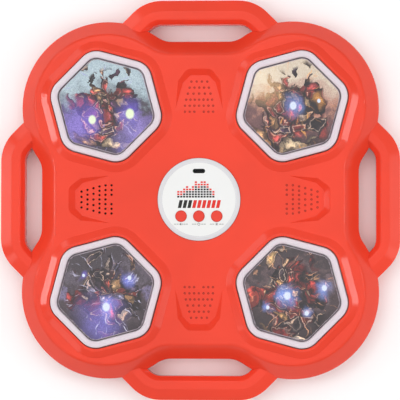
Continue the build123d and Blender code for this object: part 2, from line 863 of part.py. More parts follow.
with BuildPart() as main_board:
    with BuildSketch(level(board_level - board_depth)):
        RectangleRounded(board_side, board_side, board_corner)
        with Locations(*board_screw_places):
            Circle(small_screw_diameter / 2 + clear_hole_gap, mode=Mode.SUBTRACT)
    extrude(amount=board_depth)
    # controller chip and amplifier chip
    with BuildSketch(level(board_level)):
        with Locations(chip_place):
            Rectangle(chip_side, chip_side)
        with Locations(amplifier_place):
            Rectangle(chip_side, chip_side / 2)
    extrude(amount=chip_height)
save(main_board.part, "main_board")

with BuildPart() as tact_switches:
    with BuildSketch(level(board_level)):
        with Locations(*[(x, button_row) for x in button_xs.values()]):
            Rectangle(switch_size, switch_size)
    extrude(amount=switch_height)
    with BuildSketch(level(board_level + switch_height)):
        with Locations(*[(x, button_row) for x in button_xs.values()]):
            Circle(plunger_diameter / 2)
    extrude(amount=plunger_height)
save(tact_switches.part, "tact_switches")

with BuildPart() as charging_socket:
    shell_foot = socket_level - socket_shell_depth
    with BuildSketch(Plane((0, window_row, board_level))):
        Rectangle(socket_base_width, socket_base_height)
    extrude(amount=shell_foot - board_level)
    with BuildSketch(Plane((0, window_row, shell_foot))):
        SlotOverall(socket_length, socket_height)
        SlotOverall(socket_length - 2 * socket_wall, socket_height - 2 * socket_wall, mode=Mode.SUBTRACT)
    extrude(amount=socket_shell_depth)
    with BuildSketch(Plane((0, window_row, shell_foot))):
        Rectangle(tongue_length, tongue_height)
    extrude(amount=socket_shell_depth - tongue_sink)
save(charging_socket.part, "charging_socket")

with BuildPart() as board_screws:
    add(
        screws(
            board_screw_places,
            board_level - board_depth,
            small_screw_length,
            small_screw_diameter,
            small_head_diameter,
            small_head_height,
            up=True,
        )
    )
save(board_screws.part, "board_screws")


# Speaker

basket_foot = speaker_level - speaker_flange - speaker_basket_depth
with BuildPart() as speaker_frame:
    with BuildSketch(Plane((speaker_x, 0, speaker_level - speaker_flange))):
        RectangleRounded(speaker_side, speaker_side, speaker_corner)
    extrude(amount=speaker_flange)
    with BuildSketch(Plane((speaker_x, 0, speaker_level - speaker_flange))):
        Circle(speaker_mouth_diameter / 2)
    with BuildSketch(Plane((speaker_x, 0, basket_foot))):
        Circle(basket_base_diameter / 2)
    loft()
    with BuildSketch(Plane((speaker_x, 0, speaker_level))):
        Circle(speaker_mouth_diameter / 2 - basket_wall)
    with BuildSketch(Plane((speaker_x, 0, basket_foot + basket_wall))):
        Circle(basket_base_diameter / 2 - basket_wall)
    loft(mode=Mode.SUBTRACT)
    with BuildSketch(level(speaker_level)):
        with Locations(*speaker_screw_places):
            Circle(small_screw_diameter / 2 + clear_hole_gap)
    extrude(amount=-speaker_flange, mode=Mode.SUBTRACT)
save(speaker_frame.part, "speaker_frame")

with BuildPart() as speaker_cone:
    cone_top = speaker_level - speaker_flange
    cone_foot = cone_top - cone_depth
    with BuildSketch(Plane((speaker_x, 0, cone_top))):
        Circle(speaker_mouth_diameter / 2 - cone_rim_inset)
    with BuildSketch(Plane((speaker_x, 0, cone_foot))):
        Circle(cone_cap_diameter / 2)
    loft()
    with BuildSketch(Plane((speaker_x, 0, cone_top))):
        Circle(speaker_mouth_diameter / 2 - cone_rim_inset - cone_wall)
    with BuildSketch(Plane((speaker_x, 0, cone_foot + cone_wall))):
        Circle(cone_cap_diameter / 2 - cone_wall)
    loft(mode=Mode.SUBTRACT)
    with BuildSketch(Plane((speaker_x, 0, basket_foot + basket_wall))):
        Circle(cone_cap_diameter / 2 - cone_wall)
    extrude(amount=cone_foot + cone_wall - basket_foot - basket_wall)
save(speaker_cone.part, "speaker_cone")

with BuildPart() as speaker_magnet:
    with BuildSketch(Plane((speaker_x, 0, basket_foot - magnet_depth))):
        Circle(magnet_diameter / 2)
    extrude(amount=magnet_depth)
    chamfer(speaker_magnet.edges().sort_by(Axis.Z)[0], magnet_chamfer)
save(speaker_magnet.part, "speaker_magnet")

with BuildPart() as speaker_screws:
    add(
        screws(
            speaker_screw_places,
            speaker_level - speaker_flange,
            small_screw_length,
            small_screw_diameter,
            small_head_diameter,
            small_head_height,
            up=True,
        )
    )
save(speaker_screws.part, "speaker_screws")


# Battery

with BuildPart() as battery_cell:
    with BuildSketch(Plane.YZ.offset(-cell_length / 2)):
        with Locations((cell_y, cell_level + cell_gap)):
            Circle(cell_diameter / 2)
    extrude(amount=cell_length)
    fillet(battery_cell.edges(), cell_end_round)
save(battery_cell.part, "battery_cell")

with BuildPart() as battery_strap:
    strap_radius = cell_diameter / 2 + cell_gap
    strap_seat = floor_level + strap_boss_height
    with BuildSketch(Plane.YZ.offset(-strap_width / 2)):
        with Locations((cell_y, cell_level + cell_gap)):
            Circle(strap_radius + strap_thickness)
        with Locations((cell_y, strap_seat)):
            Rectangle(
                2 * (strap_reach + strap_foot / 2),
                strap_thickness,
                align=(Align.CENTER, Align.MIN),
            )
        with Locations((cell_y, cell_level + cell_gap)):
            Circle(strap_radius, mode=Mode.SUBTRACT)
        with Locations((cell_y, strap_seat)):
            Rectangle(
                2 * (strap_reach + strap_foot / 2),
                cell_diameter,
                align=(Align.CENTER, Align.MAX),
                mode=Mode.SUBTRACT,
            )
    extrude(amount=strap_width)
    with BuildSketch(level(strap_seat)):
        with Locations(*strap_places):
            Circle(small_screw_diameter / 2 + clear_hole_gap)
    extrude(amount=strap_thickness, mode=Mode.SUBTRACT)
save(battery_strap.part, "battery_strap")

with BuildPart() as strap_screws:
    add(
        screws(
            strap_places,
            strap_seat + strap_thickness,
            small_screw_length,
            small_screw_diameter,
            small_head_diameter,
            small_head_height,
            up=False,
        )
    )
save(strap_screws.part, "strap_screws")


# Pads: a translucent tray on four springs, with foam and a printed skin inside its rim

spring_room = tray_underside - spring_foot_level - 2 * spring_gap
with BuildPart() as spring:
    with BuildLine() as coil:
        Helix(
            (spring_room - spring_wire) / spring_turns, spring_room - spring_wire, spring_coil / 2
        )
    with BuildSketch(Plane(origin=coil.line @ 0, z_dir=coil.line % 0)):
        Circle(spring_wire / 2)
    sweep(is_frenet=True)

led_board_top = led_board_level + board_depth
for name, (sx, sy) in pad_sides.items():
    turn = pad_turn * sx * sy
    centre_x = sx * lobe_centre
    centre_y = sy * lobe_centre

    with BuildPart() as tray:
        with BuildSketch(Plane((centre_x, centre_y, lip_level))):
            add(hexagon_plan(0, turn))
        extrude(amount=rim_level - lip_level)
        with BuildSketch(Plane((centre_x, centre_y, tray_level))):
            add(hexagon_plan(rim_width, turn))
        extrude(amount=rim_level - tray_level, mode=Mode.SUBTRACT)
        fillet(tray.edges().group_by(Axis.Z)[-1], rim_round)
        with BuildSketch(Plane((centre_x, centre_y, lip_level - lip_depth))):
            add(hexagon_plan(lip_inset, turn))
        extrude(amount=lip_depth)
        with BuildSketch(Plane((centre_x, centre_y, lip_level - lip_depth))):
            add(hexagon_plan(tray_wall, turn))
        extrude(amount=tray_underside - lip_level + lip_depth, mode=Mode.SUBTRACT)
        with BuildSketch(Plane((centre_x, centre_y, plunger_foot))):
            Circle(pad_plunger_diameter / 2)
        extrude(amount=tray_underside - plunger_foot)
    save(tray.part, f"pad_rim_{name}")

    with BuildPart() as foam:
        with BuildSketch(Plane((centre_x, centre_y, tray_level))):
            add(hexagon_plan(rim_width + soft_gap, turn))
        extrude(amount=foam_depth)
    save(foam.part, f"pad_foam_{name}")

    with BuildPart() as skin:
        with BuildSketch(Plane((centre_x, centre_y, foam_level))):
            add(hexagon_plan(rim_width + soft_gap, turn))
        extrude(amount=skin_depth)
    save(skin.part, f"pad_face_{name}")

    with BuildPart() as led_board:
        with BuildSketch(Plane((centre_x, centre_y, led_board_level))):
            add(led_board_plan(turn))
        extrude(amount=board_depth)
        with BuildSketch(level(led_board_level)):
            with Locations(*led_screw_places[name]):
                Circle(small_screw_diameter / 2 + clear_hole_gap)
        extrude(amount=board_depth, mode=Mode.SUBTRACT)
    save(led_board.part, f"led_board_{name}")

    with BuildPart() as leds:
        with BuildSketch(Plane((centre_x, centre_y, led_board_top))):
            with PolarLocations(led_ring, led_count, start_angle=30):
                Rectangle(led_size, led_size)
        extrude(amount=led_height)
    save(leds.part, f"leds_{name}")

    with BuildPart() as pad_switch:
        with BuildSketch(Plane((centre_x, centre_y, led_board_top))):
            Rectangle(pad_switch_size, pad_switch_size)
        extrude(amount=pad_switch_height - plunger_height)
        with BuildSketch(Plane((centre_x, centre_y, led_board_top + pad_switch_height - plunger_height))):
            Circle(pad_plunger_diameter / 2)
        extrude(amount=plunger_height)
    save(pad_switch.part, f"pad_switch_{name}")

    with BuildPart() as springs:
        for place_x, place_y in spring_places[name]:
            add(spring.part.moved(Location((place_x, place_y, spring_start))))
    save(springs.part, f"springs_{name}")

    lead_end_x = sx * (lobe_centre - led_lead_inset)
    lead_end_y = sy * (lobe_centre - led_lead_inset)
    lead_x = sx * board_lead_place
    lead_y = sy * board_lead_place
    pad_lead = round_bar(
        (
            (lead_x, lead_y, board_level - board_depth),
            (lead_x, lead_y, lead_run_level),
            (lead_end_x, lead_end_y, lead_run_level),
            (lead_end_x, lead_end_y, led_board_top),
        ),
        lead_drop_bend,
        lead_diameter,
    )
    save(pad_lead.part, f"pad_lead_{name}")

with BuildPart() as led_board_screws:
    add(
        screws(
            all_led_screw_places,
            led_board_top,
            small_screw_length,
            small_screw_diameter,
            small_head_diameter,
            small_head_height,
            up=False,
        )
    )
save(led_board_screws.part, "led_board_screws")


# Leads from the main board to the speaker and from the battery to the board

speaker_lead = round_bar(
    (
        (-speaker_lead_start, 0, board_level - board_depth),
        (-speaker_lead_start, 0, lead_run_level),
        (speaker_x + speaker_terminal, 0, lead_run_level),
        (speaker_x + speaker_terminal, 0, speaker_level - speaker_flange),
    ),
    lead_drop_bend,
    lead_diameter,
)
save(speaker_lead.part, "speaker_lead")

battery_lead = round_bar(
    (
        (cell_length / 2, cell_y, cell_level + cell_gap),
        (cell_length / 2 + battery_lead_out, cell_y, cell_level + cell_gap),
        (cell_length / 2 + battery_lead_out, battery_lead_turn, cell_level + cell_gap),
        (battery_lead_end, battery_lead_turn, cell_level + cell_gap),
        (battery_lead_end, battery_lead_turn, board_level - board_depth),
    ),
    battery_lead_bend,
    lead_diameter,
)
save(battery_lead.part, "battery_lead")
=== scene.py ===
# %% [markdown]
# # A boxing punch machine, seen from above
# The machine is a shallow red plastic case with four lit strike pads, a white control disc and four grips.
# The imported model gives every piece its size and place. This script gives each piece its finish, and makes
# the shapes that a maker would form by hand: the stuffed pads, the printed signs, springs, screws and feet.

import functools
import json
import math

import bmesh
import bpy
from mathutils import Matrix, Vector


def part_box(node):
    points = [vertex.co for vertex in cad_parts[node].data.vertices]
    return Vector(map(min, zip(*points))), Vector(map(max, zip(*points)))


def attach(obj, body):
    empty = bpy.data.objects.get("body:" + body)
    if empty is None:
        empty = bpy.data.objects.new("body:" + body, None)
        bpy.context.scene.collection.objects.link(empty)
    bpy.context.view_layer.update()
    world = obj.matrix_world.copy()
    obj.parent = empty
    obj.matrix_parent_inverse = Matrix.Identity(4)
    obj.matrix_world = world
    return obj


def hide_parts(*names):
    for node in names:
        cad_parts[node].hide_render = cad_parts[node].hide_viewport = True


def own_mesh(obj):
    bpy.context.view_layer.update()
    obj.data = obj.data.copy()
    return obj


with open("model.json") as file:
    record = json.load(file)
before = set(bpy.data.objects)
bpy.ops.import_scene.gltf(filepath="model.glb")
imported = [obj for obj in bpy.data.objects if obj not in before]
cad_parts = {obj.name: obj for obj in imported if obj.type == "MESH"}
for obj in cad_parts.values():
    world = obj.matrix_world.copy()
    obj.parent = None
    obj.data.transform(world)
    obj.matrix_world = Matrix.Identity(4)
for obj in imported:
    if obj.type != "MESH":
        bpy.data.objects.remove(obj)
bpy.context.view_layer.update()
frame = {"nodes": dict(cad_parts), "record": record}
nodes = frame["nodes"]
corner_names = ("top_left", "top_right", "bottom_left", "bottom_right")

# %% [markdown]
# ## The view
# The case lies on its back and the camera looks straight down at it from about two metres, a hand's breadth
# off the middle, so that the raised pads hide a little of their own left and upper edges. A long lens keeps
# the outline nearly free of perspective.

# %% Camera above the face
scene = bpy.context.scene
look_at = Vector((0, 0, 0.018))
camera_height = 2.0
camera_shift = Vector((0.094, -0.056, 0))
seen_width = 0.4012         # how much of the level plane at look_at fills the picture


def set_in_scene(name, data):
    """A new object, linked to the scene."""
    made = bpy.data.objects.new(name, data)
    scene.collection.objects.link(made)
    return made


camera_data = bpy.data.cameras.new("camera")
camera = set_in_scene("camera", camera_data)
camera.location = look_at + camera_shift + Vector((0, 0, camera_height))
gaze = look_at - camera.location
camera_data.sensor_width = 36.0
camera_data.lens = camera_data.sensor_width * gaze.length / seen_width
camera_data.clip_end = 20.0
scene.camera = camera
print("camera lens", round(camera_data.lens, 1), "mm")

# %% Keep the picture's axes level with the case
gaze.normalize()
right = Vector((1, 0, 0)) - gaze * gaze.x
right.normalize()
up = right.cross(gaze)
camera.rotation_euler = Matrix((right, up, -gaze)).transposed().to_euler()
print("camera turned level")

# %% [markdown]
# ## The studio
# A product like this is lit by large soft sources, because its gloss plastic shows every one of them. A pale
# room, brighter overhead than at its walls, gives the even base and keeps the slopes a little darker than the
# flat face, and some light from under the horizon reaches the underside. A long softbox on each side and a
# wide one overhead model the form. Bright cards around the case show only in its gloss, where they draw the
# highlights along its bevels. The camera sees none of these lamps.

# %% Room and softboxes
world = bpy.data.worlds.new("white_room")
scene.world = world
world.use_nodes = True
wall_level = 0.02
ceiling_level = 1.26
room = world.node_tree
heading = room.nodes.new("ShaderNodeTexCoord")
height = room.nodes.new("ShaderNodeSeparateXYZ")
room.links.new(heading.outputs["Generated"], height.inputs[0])
brightness = room.nodes.new("ShaderNodeMapRange")
brightness.inputs["To Min"].default_value = wall_level
brightness.inputs["To Max"].default_value = ceiling_level
room.links.new(height.outputs["Z"], brightness.inputs["Value"])
room.nodes["Background"].inputs["Color"].default_value = (1, 1, 1, 1)
below = room.nodes.new("ShaderNodeMapRange")
below.inputs["From Min"].default_value = -0.05
below.inputs["From Max"].default_value = -0.15
below.inputs["To Max"].default_value = 0.8
room.links.new(height.outputs["Z"], below.inputs["Value"])
strength = room.nodes.new("ShaderNodeMath")
room.links.new(brightness.outputs["Result"], strength.inputs[0])
room.links.new(below.outputs["Result"], strength.inputs[1])
room.links.new(strength.outputs[0], room.nodes["Background"].inputs["Strength"])
scene.view_settings.view_transform = "Standard"


def softbox(name, place, aim, size, power):
    """A rectangular lamp at a place, aimed at a point, that the camera doesn't see."""
    lamp = bpy.data.lights.new(name, "AREA")
    lamp.shape = "RECTANGLE"
    lamp.size, lamp.size_y = size
    lamp.energy = power
    box = set_in_scene(name, lamp)
    box.location = place
    box.rotation_euler = (Vector(aim) - Vector(place)).to_track_quat("-Z", "Y").to_euler()
    box.visible_camera = False
    return box


side_lights = [
    softbox("softbox_right", (1.25, -0.12, 0.68), (0, -0.1, 0), (0.34, 1.1), 3.2),
    softbox("softbox_left", (-1.25, 0.0, 0.68), (0, 0, 0), (0.34, 2.4), 5.8),
]
for side_light in side_lights:
    side_light.visible_glossy = False       # the cards below stand for them in the gloss
softbox("softbox_overhead", (-0.3, 1.0, 1.9), (0, 0, 0), (1.8, 1.2), 4.2)
print("studio: a pale room and three softboxes")

# %% Cards that only the gloss sees
card_side = 1.2             # from the middle out to the plane that the cards stand in
cards = {
    # name: (side, middle along Y, middle height, height, length, brightness)
    "left_collars": (-1, 0.04, 0.475, 0.10, 0.50, 15.0),
    "left_grip": (-1, 0.03, 0.63, 0.16, 0.44, 1.2),
    "left_front": (-1, -0.62, 0.69, 0.24, 0.20, 3.0),
    "left_back": (-1, 0.45, 0.69, 0.14, 0.36, 3.0),
    "left_far_back": (-1, 1.2, 0.80, 0.50, 0.40, 2.5),
    "left_far_front": (-1, -1.2, 0.65, 0.20, 0.40, 2.5),
    "right_collars": (1, 0.04, 0.595, 0.10, 0.50, 12.0),
    "right_front": (1, -0.45, 0.80, 0.14, 0.36, 3.0),
}
for name, (side, along, height, tall, length, brightness) in cards.items():
    power = brightness * math.pi * tall * length
    card = softbox(f"card_{name}", (side * card_side, along, height), (0, 0, 0), (length, tall), power)
    card.visible_diffuse = False
print("cards:", ", ".join(cards))

# %% [markdown]
# ## Helpers for finishes
# Every finish is a tree of nodes that ends in one Principled shader. Short helpers keep the trees readable:
# they add a node and join its inputs by name, do arithmetic, or give a pattern that many finishes share.
# Patterns are read from Object coordinates, in metres, because every finished piece's object is at the origin.

# %% Node helpers


def join(tree, value, socket):
    """Links a socket to an input, or sets the input to a plain value."""
    if isinstance(value, bpy.types.NodeSocket):
        tree.links.new(value, socket)
    else:
        socket.default_value = value


def connect(tree, node, **inputs):
    """Joins the inputs of a node that are named."""
    for key, value in inputs.items():
        join(tree, value, node.inputs[key.replace("_", " ")])


def add(tree, kind, settings=(), **inputs):
    """Adds a node, with its settings, and joins the inputs that are named."""
    made = tree.nodes.new(kind)
    for key, value in dict(settings).items():
        setattr(made, key, value)
    connect(tree, made, **inputs)
    return made


def new_finish(name):
    """An empty finish: the material, its tree, its Principled shader and the Object coordinates."""
    finish = bpy.data.materials.new(name)
    finish.use_nodes = True
    tree = finish.node_tree
    return finish, tree, tree.nodes["Principled BSDF"], add(tree, "ShaderNodeTexCoord").outputs["Object"]


def sums(tree, operation, a, b=0.0, c=0.0):
    """The result of a Math node."""
    made = add(tree, "ShaderNodeMath", {"operation": operation})
    for socket, value in zip(made.inputs, (a, b, c)):
        join(tree, value, socket)
    return made.outputs[0]


def vectors(tree, operation, *values):
    """The result of a Vector Math node."""
    made = add(tree, "ShaderNodeVectorMath", {"operation": operation})
    for socket, value in zip(made.inputs, values):
        join(tree, value, socket)
    return made.outputs["Value" if operation == "LENGTH" else "Vector"]


def colour(red, green, blue):
    """A colour given as on a screen, 0 to 255, turned into the light values that the shader takes."""
    shares = [v / 255 for v in (red, green, blue)]
    light = [v / 12.92 if v <= 0.04045 else ((v + 0.055) / 1.055) ** 2.4 for v in shares]
    return (*light, 1.0)


def blend_colours(tree, share, first, second, mode="MIX"):
    """Two colours mixed by a share."""
    made = add(tree, "ShaderNodeMix", {"data_type": "RGBA", "blend_type": mode})
    join(tree, share, made.inputs["Factor"])
    join(tree, first, made.inputs[6])
    join(tree, second, made.inputs[7])
    return made.outputs[2]


def spread(tree, value, low, high, to_low=0.0, to_high=1.0):
    """A value mapped smoothly from one range to another."""
    made = add(tree, "ShaderNodeMapRange", {"interpolation_type": "SMOOTHSTEP"})
    for name, number in zip(("From Min", "From Max", "To Min", "To Max"), (low, high, to_low, to_high)):
        made.inputs[name].default_value = number
    join(tree, value, made.inputs["Value"])
    return made.outputs["Result"]


def steps(tree, value, stops, hard=False):
    """A colour ramp through a list of (place, colour)."""
    made = add(tree, "ShaderNodeValToRGB", Fac=value)
    ramp = made.color_ramp
    ramp.interpolation = "CONSTANT" if hard else "EASE"
    while len(ramp.elements) < len(stops):
        ramp.elements.new(1.0)
    for element, (place, shade) in zip(ramp.elements, stops):
        element.position = place
        element.color = shade
    return made.outputs["Color"]


def noise(tree, place, scale, detail=2.0, **more):
    """The grey value of a noise pattern."""
    return add(tree, "ShaderNodeTexNoise", Vector=place, Scale=scale, Detail=detail, **more).outputs["Fac"]


def moved(tree, place, **how):
    """Coordinates that are shifted, turned or scaled."""
    return add(tree, "ShaderNodeMapping", Vector=place, **how).outputs[0]


def relief(tree, height, depth, **more):
    """The normal of a surface that a pattern raises by a depth."""
    return add(tree, "ShaderNodeBump", Height=height, Distance=depth, Strength=1.0, **more).outputs["Normal"]


print("helpers ready")

# %% [markdown]
# ## Moulded plastic
# Gloss plastic from a polished mould isn't perfectly even: its surface ripples over a few millimetres, its
# colour drifts slightly across the moulding, and handling leaves hair-thin scuffs that change the gloss. One
# function makes all the plastics, with the amount of each effect as its arguments. It can also paint shade
# into narrow hollows, darkening their colour there.

# %% One function for every plastic


def plastic(
    name, base, rough, drift=0.04, ripple=0.00002, scuffs=0.05, grain=0.0, grain_size=0.0004, painted_hollow_shade=0.0,
):
    """A moulded plastic: colour drift, ripple, hair scuffs, an optional grain and optional painted shade in
    hollows.
    """
    finish, tree, shader, place = new_finish(name)
    darker = tuple(v * (1 - drift) for v in base[:3]) + (1.0,)
    lighter = tuple(min(1.0, v * (1 + drift)) for v in base[:3]) + (1.0,)
    tone = blend_colours(tree, spread(tree, noise(tree, place, 14.0, 3.0), 0.3, 0.7), darker, lighter)
    # painted shade: an ambient occlusion node darkens the colour in narrow hollows and gaps, within the given
    # reach
    if painted_hollow_shade:
        nearby = {"samples": 6, "only_local": True}
        openness = add(tree, "ShaderNodeAmbientOcclusion", nearby, Distance=painted_hollow_shade).outputs["AO"]
        tone = blend_colours(tree, 1.0, tone, spread(tree, openness, 0.2, 0.75, 0.22, 1.0), "MULTIPLY")
    hairs = noise(tree, moved(tree, place, Scale=(90.0, 900.0, 400.0), Rotation=(0, 0, 0.6)), 1.0)
    smears = noise(tree, place, 45.0, 4.0)
    worn = sums(tree, "MULTIPLY", spread(tree, hairs, 0.60, 0.72), spread(tree, smears, 0.45, 0.7))
    gloss = sums(tree, "MULTIPLY_ADD", smears, scuffs, rough - scuffs / 2)
    normal = relief(tree, noise(tree, place, 260.0, 1.0), ripple)
    if grain:
        normal = relief(tree, noise(tree, place, 1 / grain_size), grain, Normal=normal)
    rough_where_worn = sums(tree, "MULTIPLY_ADD", worn, scuffs, gloss)
    connect(tree, shader, Base_Color=tone, Roughness=rough_where_worn, Normal=normal, Specular_IOR_Level=0.26)
    return finish


# the casing and the disc get painted shade in their hollows, within 2.5 mm and 2 mm
finishes = {
    "casing_red": plastic("casing_red", (0.834, 0.056, 0.026, 1), 0.17, painted_hollow_shade=0.0025),
    "button_red": plastic("button_red", (0.80, 0.055, 0.034, 1), 0.24, grain=0.000012),
    "disc_white": plastic("disc_white", (0.72, 0.715, 0.735, 1), 0.20, drift=0.01, painted_hollow_shade=0.002),
    "switch_black": plastic("switch_black", (0.012, 0.012, 0.013, 1), 0.42, grain=0.00002),
    "frame_black": plastic("frame_black", (0.015, 0.015, 0.017, 1), 0.5, grain=0.00003),
    "strap_black": plastic("strap_black", (0.02, 0.02, 0.022, 1), 0.45, grain=0.00003),
    "lead_black": plastic("lead_black", (0.018, 0.018, 0.02, 1), 0.5, grain=0.00001),
    "cell_blue": plastic("cell_blue", (0.03, 0.12, 0.45, 1), 0.3, drift=0.08),
}
print("plastics:", ", ".join(finishes))

# %% [markdown]
# ## Rubber, metal, boards and the small parts inside
# These are mostly out of sight, behind the sound holes or under the case, but each one still has the texture
# of its own material: rubber is matt and dusty, steel carries fine drawing lines, a circuit board shows its
# copper tracks through the green lacquer, and a speaker cone is felted paper.

# %% Rubber and paper


def matt(name, base, rough, grain, grain_size, dust):
    """A matt, grained surface with a little pale dust in clouds of noise."""
    finish, tree, shader, place = new_finish(name)
    clouds = noise(tree, place, 110.0, 5.0)
    dusty = tuple(v + dust for v in base[:3]) + (1.0,)
    tone = blend_colours(tree, spread(tree, clouds, 0.45, 0.75), base, dusty)
    pits = add(tree, "ShaderNodeTexVoronoi", Vector=place, Scale=1 / grain_size).outputs["Distance"]
    cloudy_rough = sums(tree, "MULTIPLY_ADD", clouds, 0.2, rough - 0.1)
    connect(tree, shader, Base_Color=tone, Normal=relief(tree, pits, grain), Roughness=cloudy_rough)
    return finish


finishes["rubber_black"] = matt("rubber_black", (0.02, 0.02, 0.02, 1), 0.8, 0.00005, 0.0008, 0.03)
finishes["cone_black"] = matt("cone_black", (0.025, 0.024, 0.024, 1), 0.85, 0.00008, 0.0012, 0.02)
finishes["foam_grey"] = matt("foam_grey", (0.16, 0.16, 0.17, 1), 0.9, 0.0002, 0.0015, 0.04)
print("matt finishes ready")

# %% Metals


def metal(name, base, rough, line_scale):
    """A plated or drawn metal with fine lines along Z and faint clouding."""
    finish, tree, shader, place = new_finish(name)
    lines = noise(tree, moved(tree, place, Scale=line_scale), 1.0, 3.0)
    dull = tuple(v * 0.8 for v in base[:3]) + (1.0,)
    tone = blend_colours(tree, spread(tree, noise(tree, place, 200.0, 3.0), 0.35, 0.65), dull, base)
    lined_rough = sums(tree, "MULTIPLY_ADD", lines, 0.18, rough - 0.09)
    normal = relief(tree, lines, 0.00001)
    connect(tree, shader, Base_Color=tone, Roughness=lined_rough, Normal=normal, Metallic=1.0)
    return finish


finishes["steel"] = metal("steel", (0.62, 0.62, 0.60, 1), 0.3, (2500.0, 2500.0, 300.0))
finishes["spring_steel"] = metal("spring_steel", (0.5, 0.5, 0.5, 1), 0.25, (3000.0, 3000.0, 900.0))
finishes["magnet_grey"] = metal("magnet_grey", (0.22, 0.22, 0.23, 1), 0.5, (800.0, 800.0, 800.0))
print("metals ready")

# %% Circuit board, with copper tracks under the lacquer
finishes["board_green"], tree, shader, place = new_finish("board_green")
track_cells = add(tree, "ShaderNodeTexVoronoi", {"distance": "MANHATTAN"}, Vector=place, Scale=260.0)
track_height = spread(tree, track_cells.outputs["Distance"], 0.30, 0.36)
lacquer = blend_colours(tree, track_height, (0.012, 0.15, 0.04, 1), (0.02, 0.25, 0.07, 1))
connect(tree, shader, Base_Color=lacquer, Normal=relief(tree, track_height, 0.00003), Roughness=0.28)
print("board finish ready")

# %% Light chips and the translucent rims
finishes["led_white"] = plastic("led_white", (0.85, 0.83, 0.62, 1), 0.3, drift=0.03)


def milky(name, base, rough):
    """A milky plastic that light soaks into before it comes out again."""
    finish = plastic(name, base, rough, drift=0.015, ripple=0.00002, grain=0.000015, grain_size=0.0006)
    tree = finish.node_tree
    soak = {"Subsurface_Weight": 0.45, "Subsurface_Radius": (1.0, 0.8, 0.9), "Subsurface_Scale": 0.003}
    connect(tree, tree.nodes["Principled BSDF"], **soak)
    return finish


finishes["rim_translucent"] = milky("rim_translucent", (0.74, 0.655, 0.70, 1), 0.36)
finishes["overlay_print"] = plastic("overlay_print", (0.825, 0.825, 0.815, 1), 0.30, drift=0.008, grain=0.00001)
print("milky and overlay finishes ready")

# %% [markdown]
# ## The printed faces of the pads
# Each pad carries a different full-colour print. Here the prints are abstract: a burst of broken plates and
# sparks in reds and golds, over a clouded ground, with cold blue-white lights. Plates come from a Voronoi
# pattern in polar coordinates, so they fly out from a centre, and lights are smooth spots added on top.

# %% The parts of a print
print_reach = 0.048         # from a pad's centre to its print's edge, the unit of the prints' own places


def spot_distance(tree, place, x, y, stretch=1.0):
    """The distance from a point of the print, with the vertical direction stretched."""
    about = moved(tree, place, Location=(-x, -y / stretch, 0), Scale=(1, 1 / stretch, 1))
    return vectors(tree, "LENGTH", about)


def burst_coordinates(tree, place, x, y, sectors, rings):
    """Polar coordinates about a point: how far round in X and how far out in Y."""
    about = moved(tree, place, Location=(-x, -y, 0))
    axes = add(tree, "ShaderNodeSeparateXYZ", Vector=about)
    angle = sums(tree, "ARCTAN2", axes.outputs["Y"], axes.outputs["X"])
    radius = vectors(tree, "LENGTH", about)
    round_and_out = {"X": sums(tree, "MULTIPLY", angle, sectors), "Y": sums(tree, "MULTIPLY", radius, rings)}
    return add(tree, "ShaderNodeCombineXYZ", **round_and_out).outputs[0], radius


def shades(*stops):
    """The stops of a ramp, each given as its place and a colour as on a screen."""
    return [(place, colour(*screen)) for place, *screen in stops]


print("print helpers ready")

# %% One function for the four prints


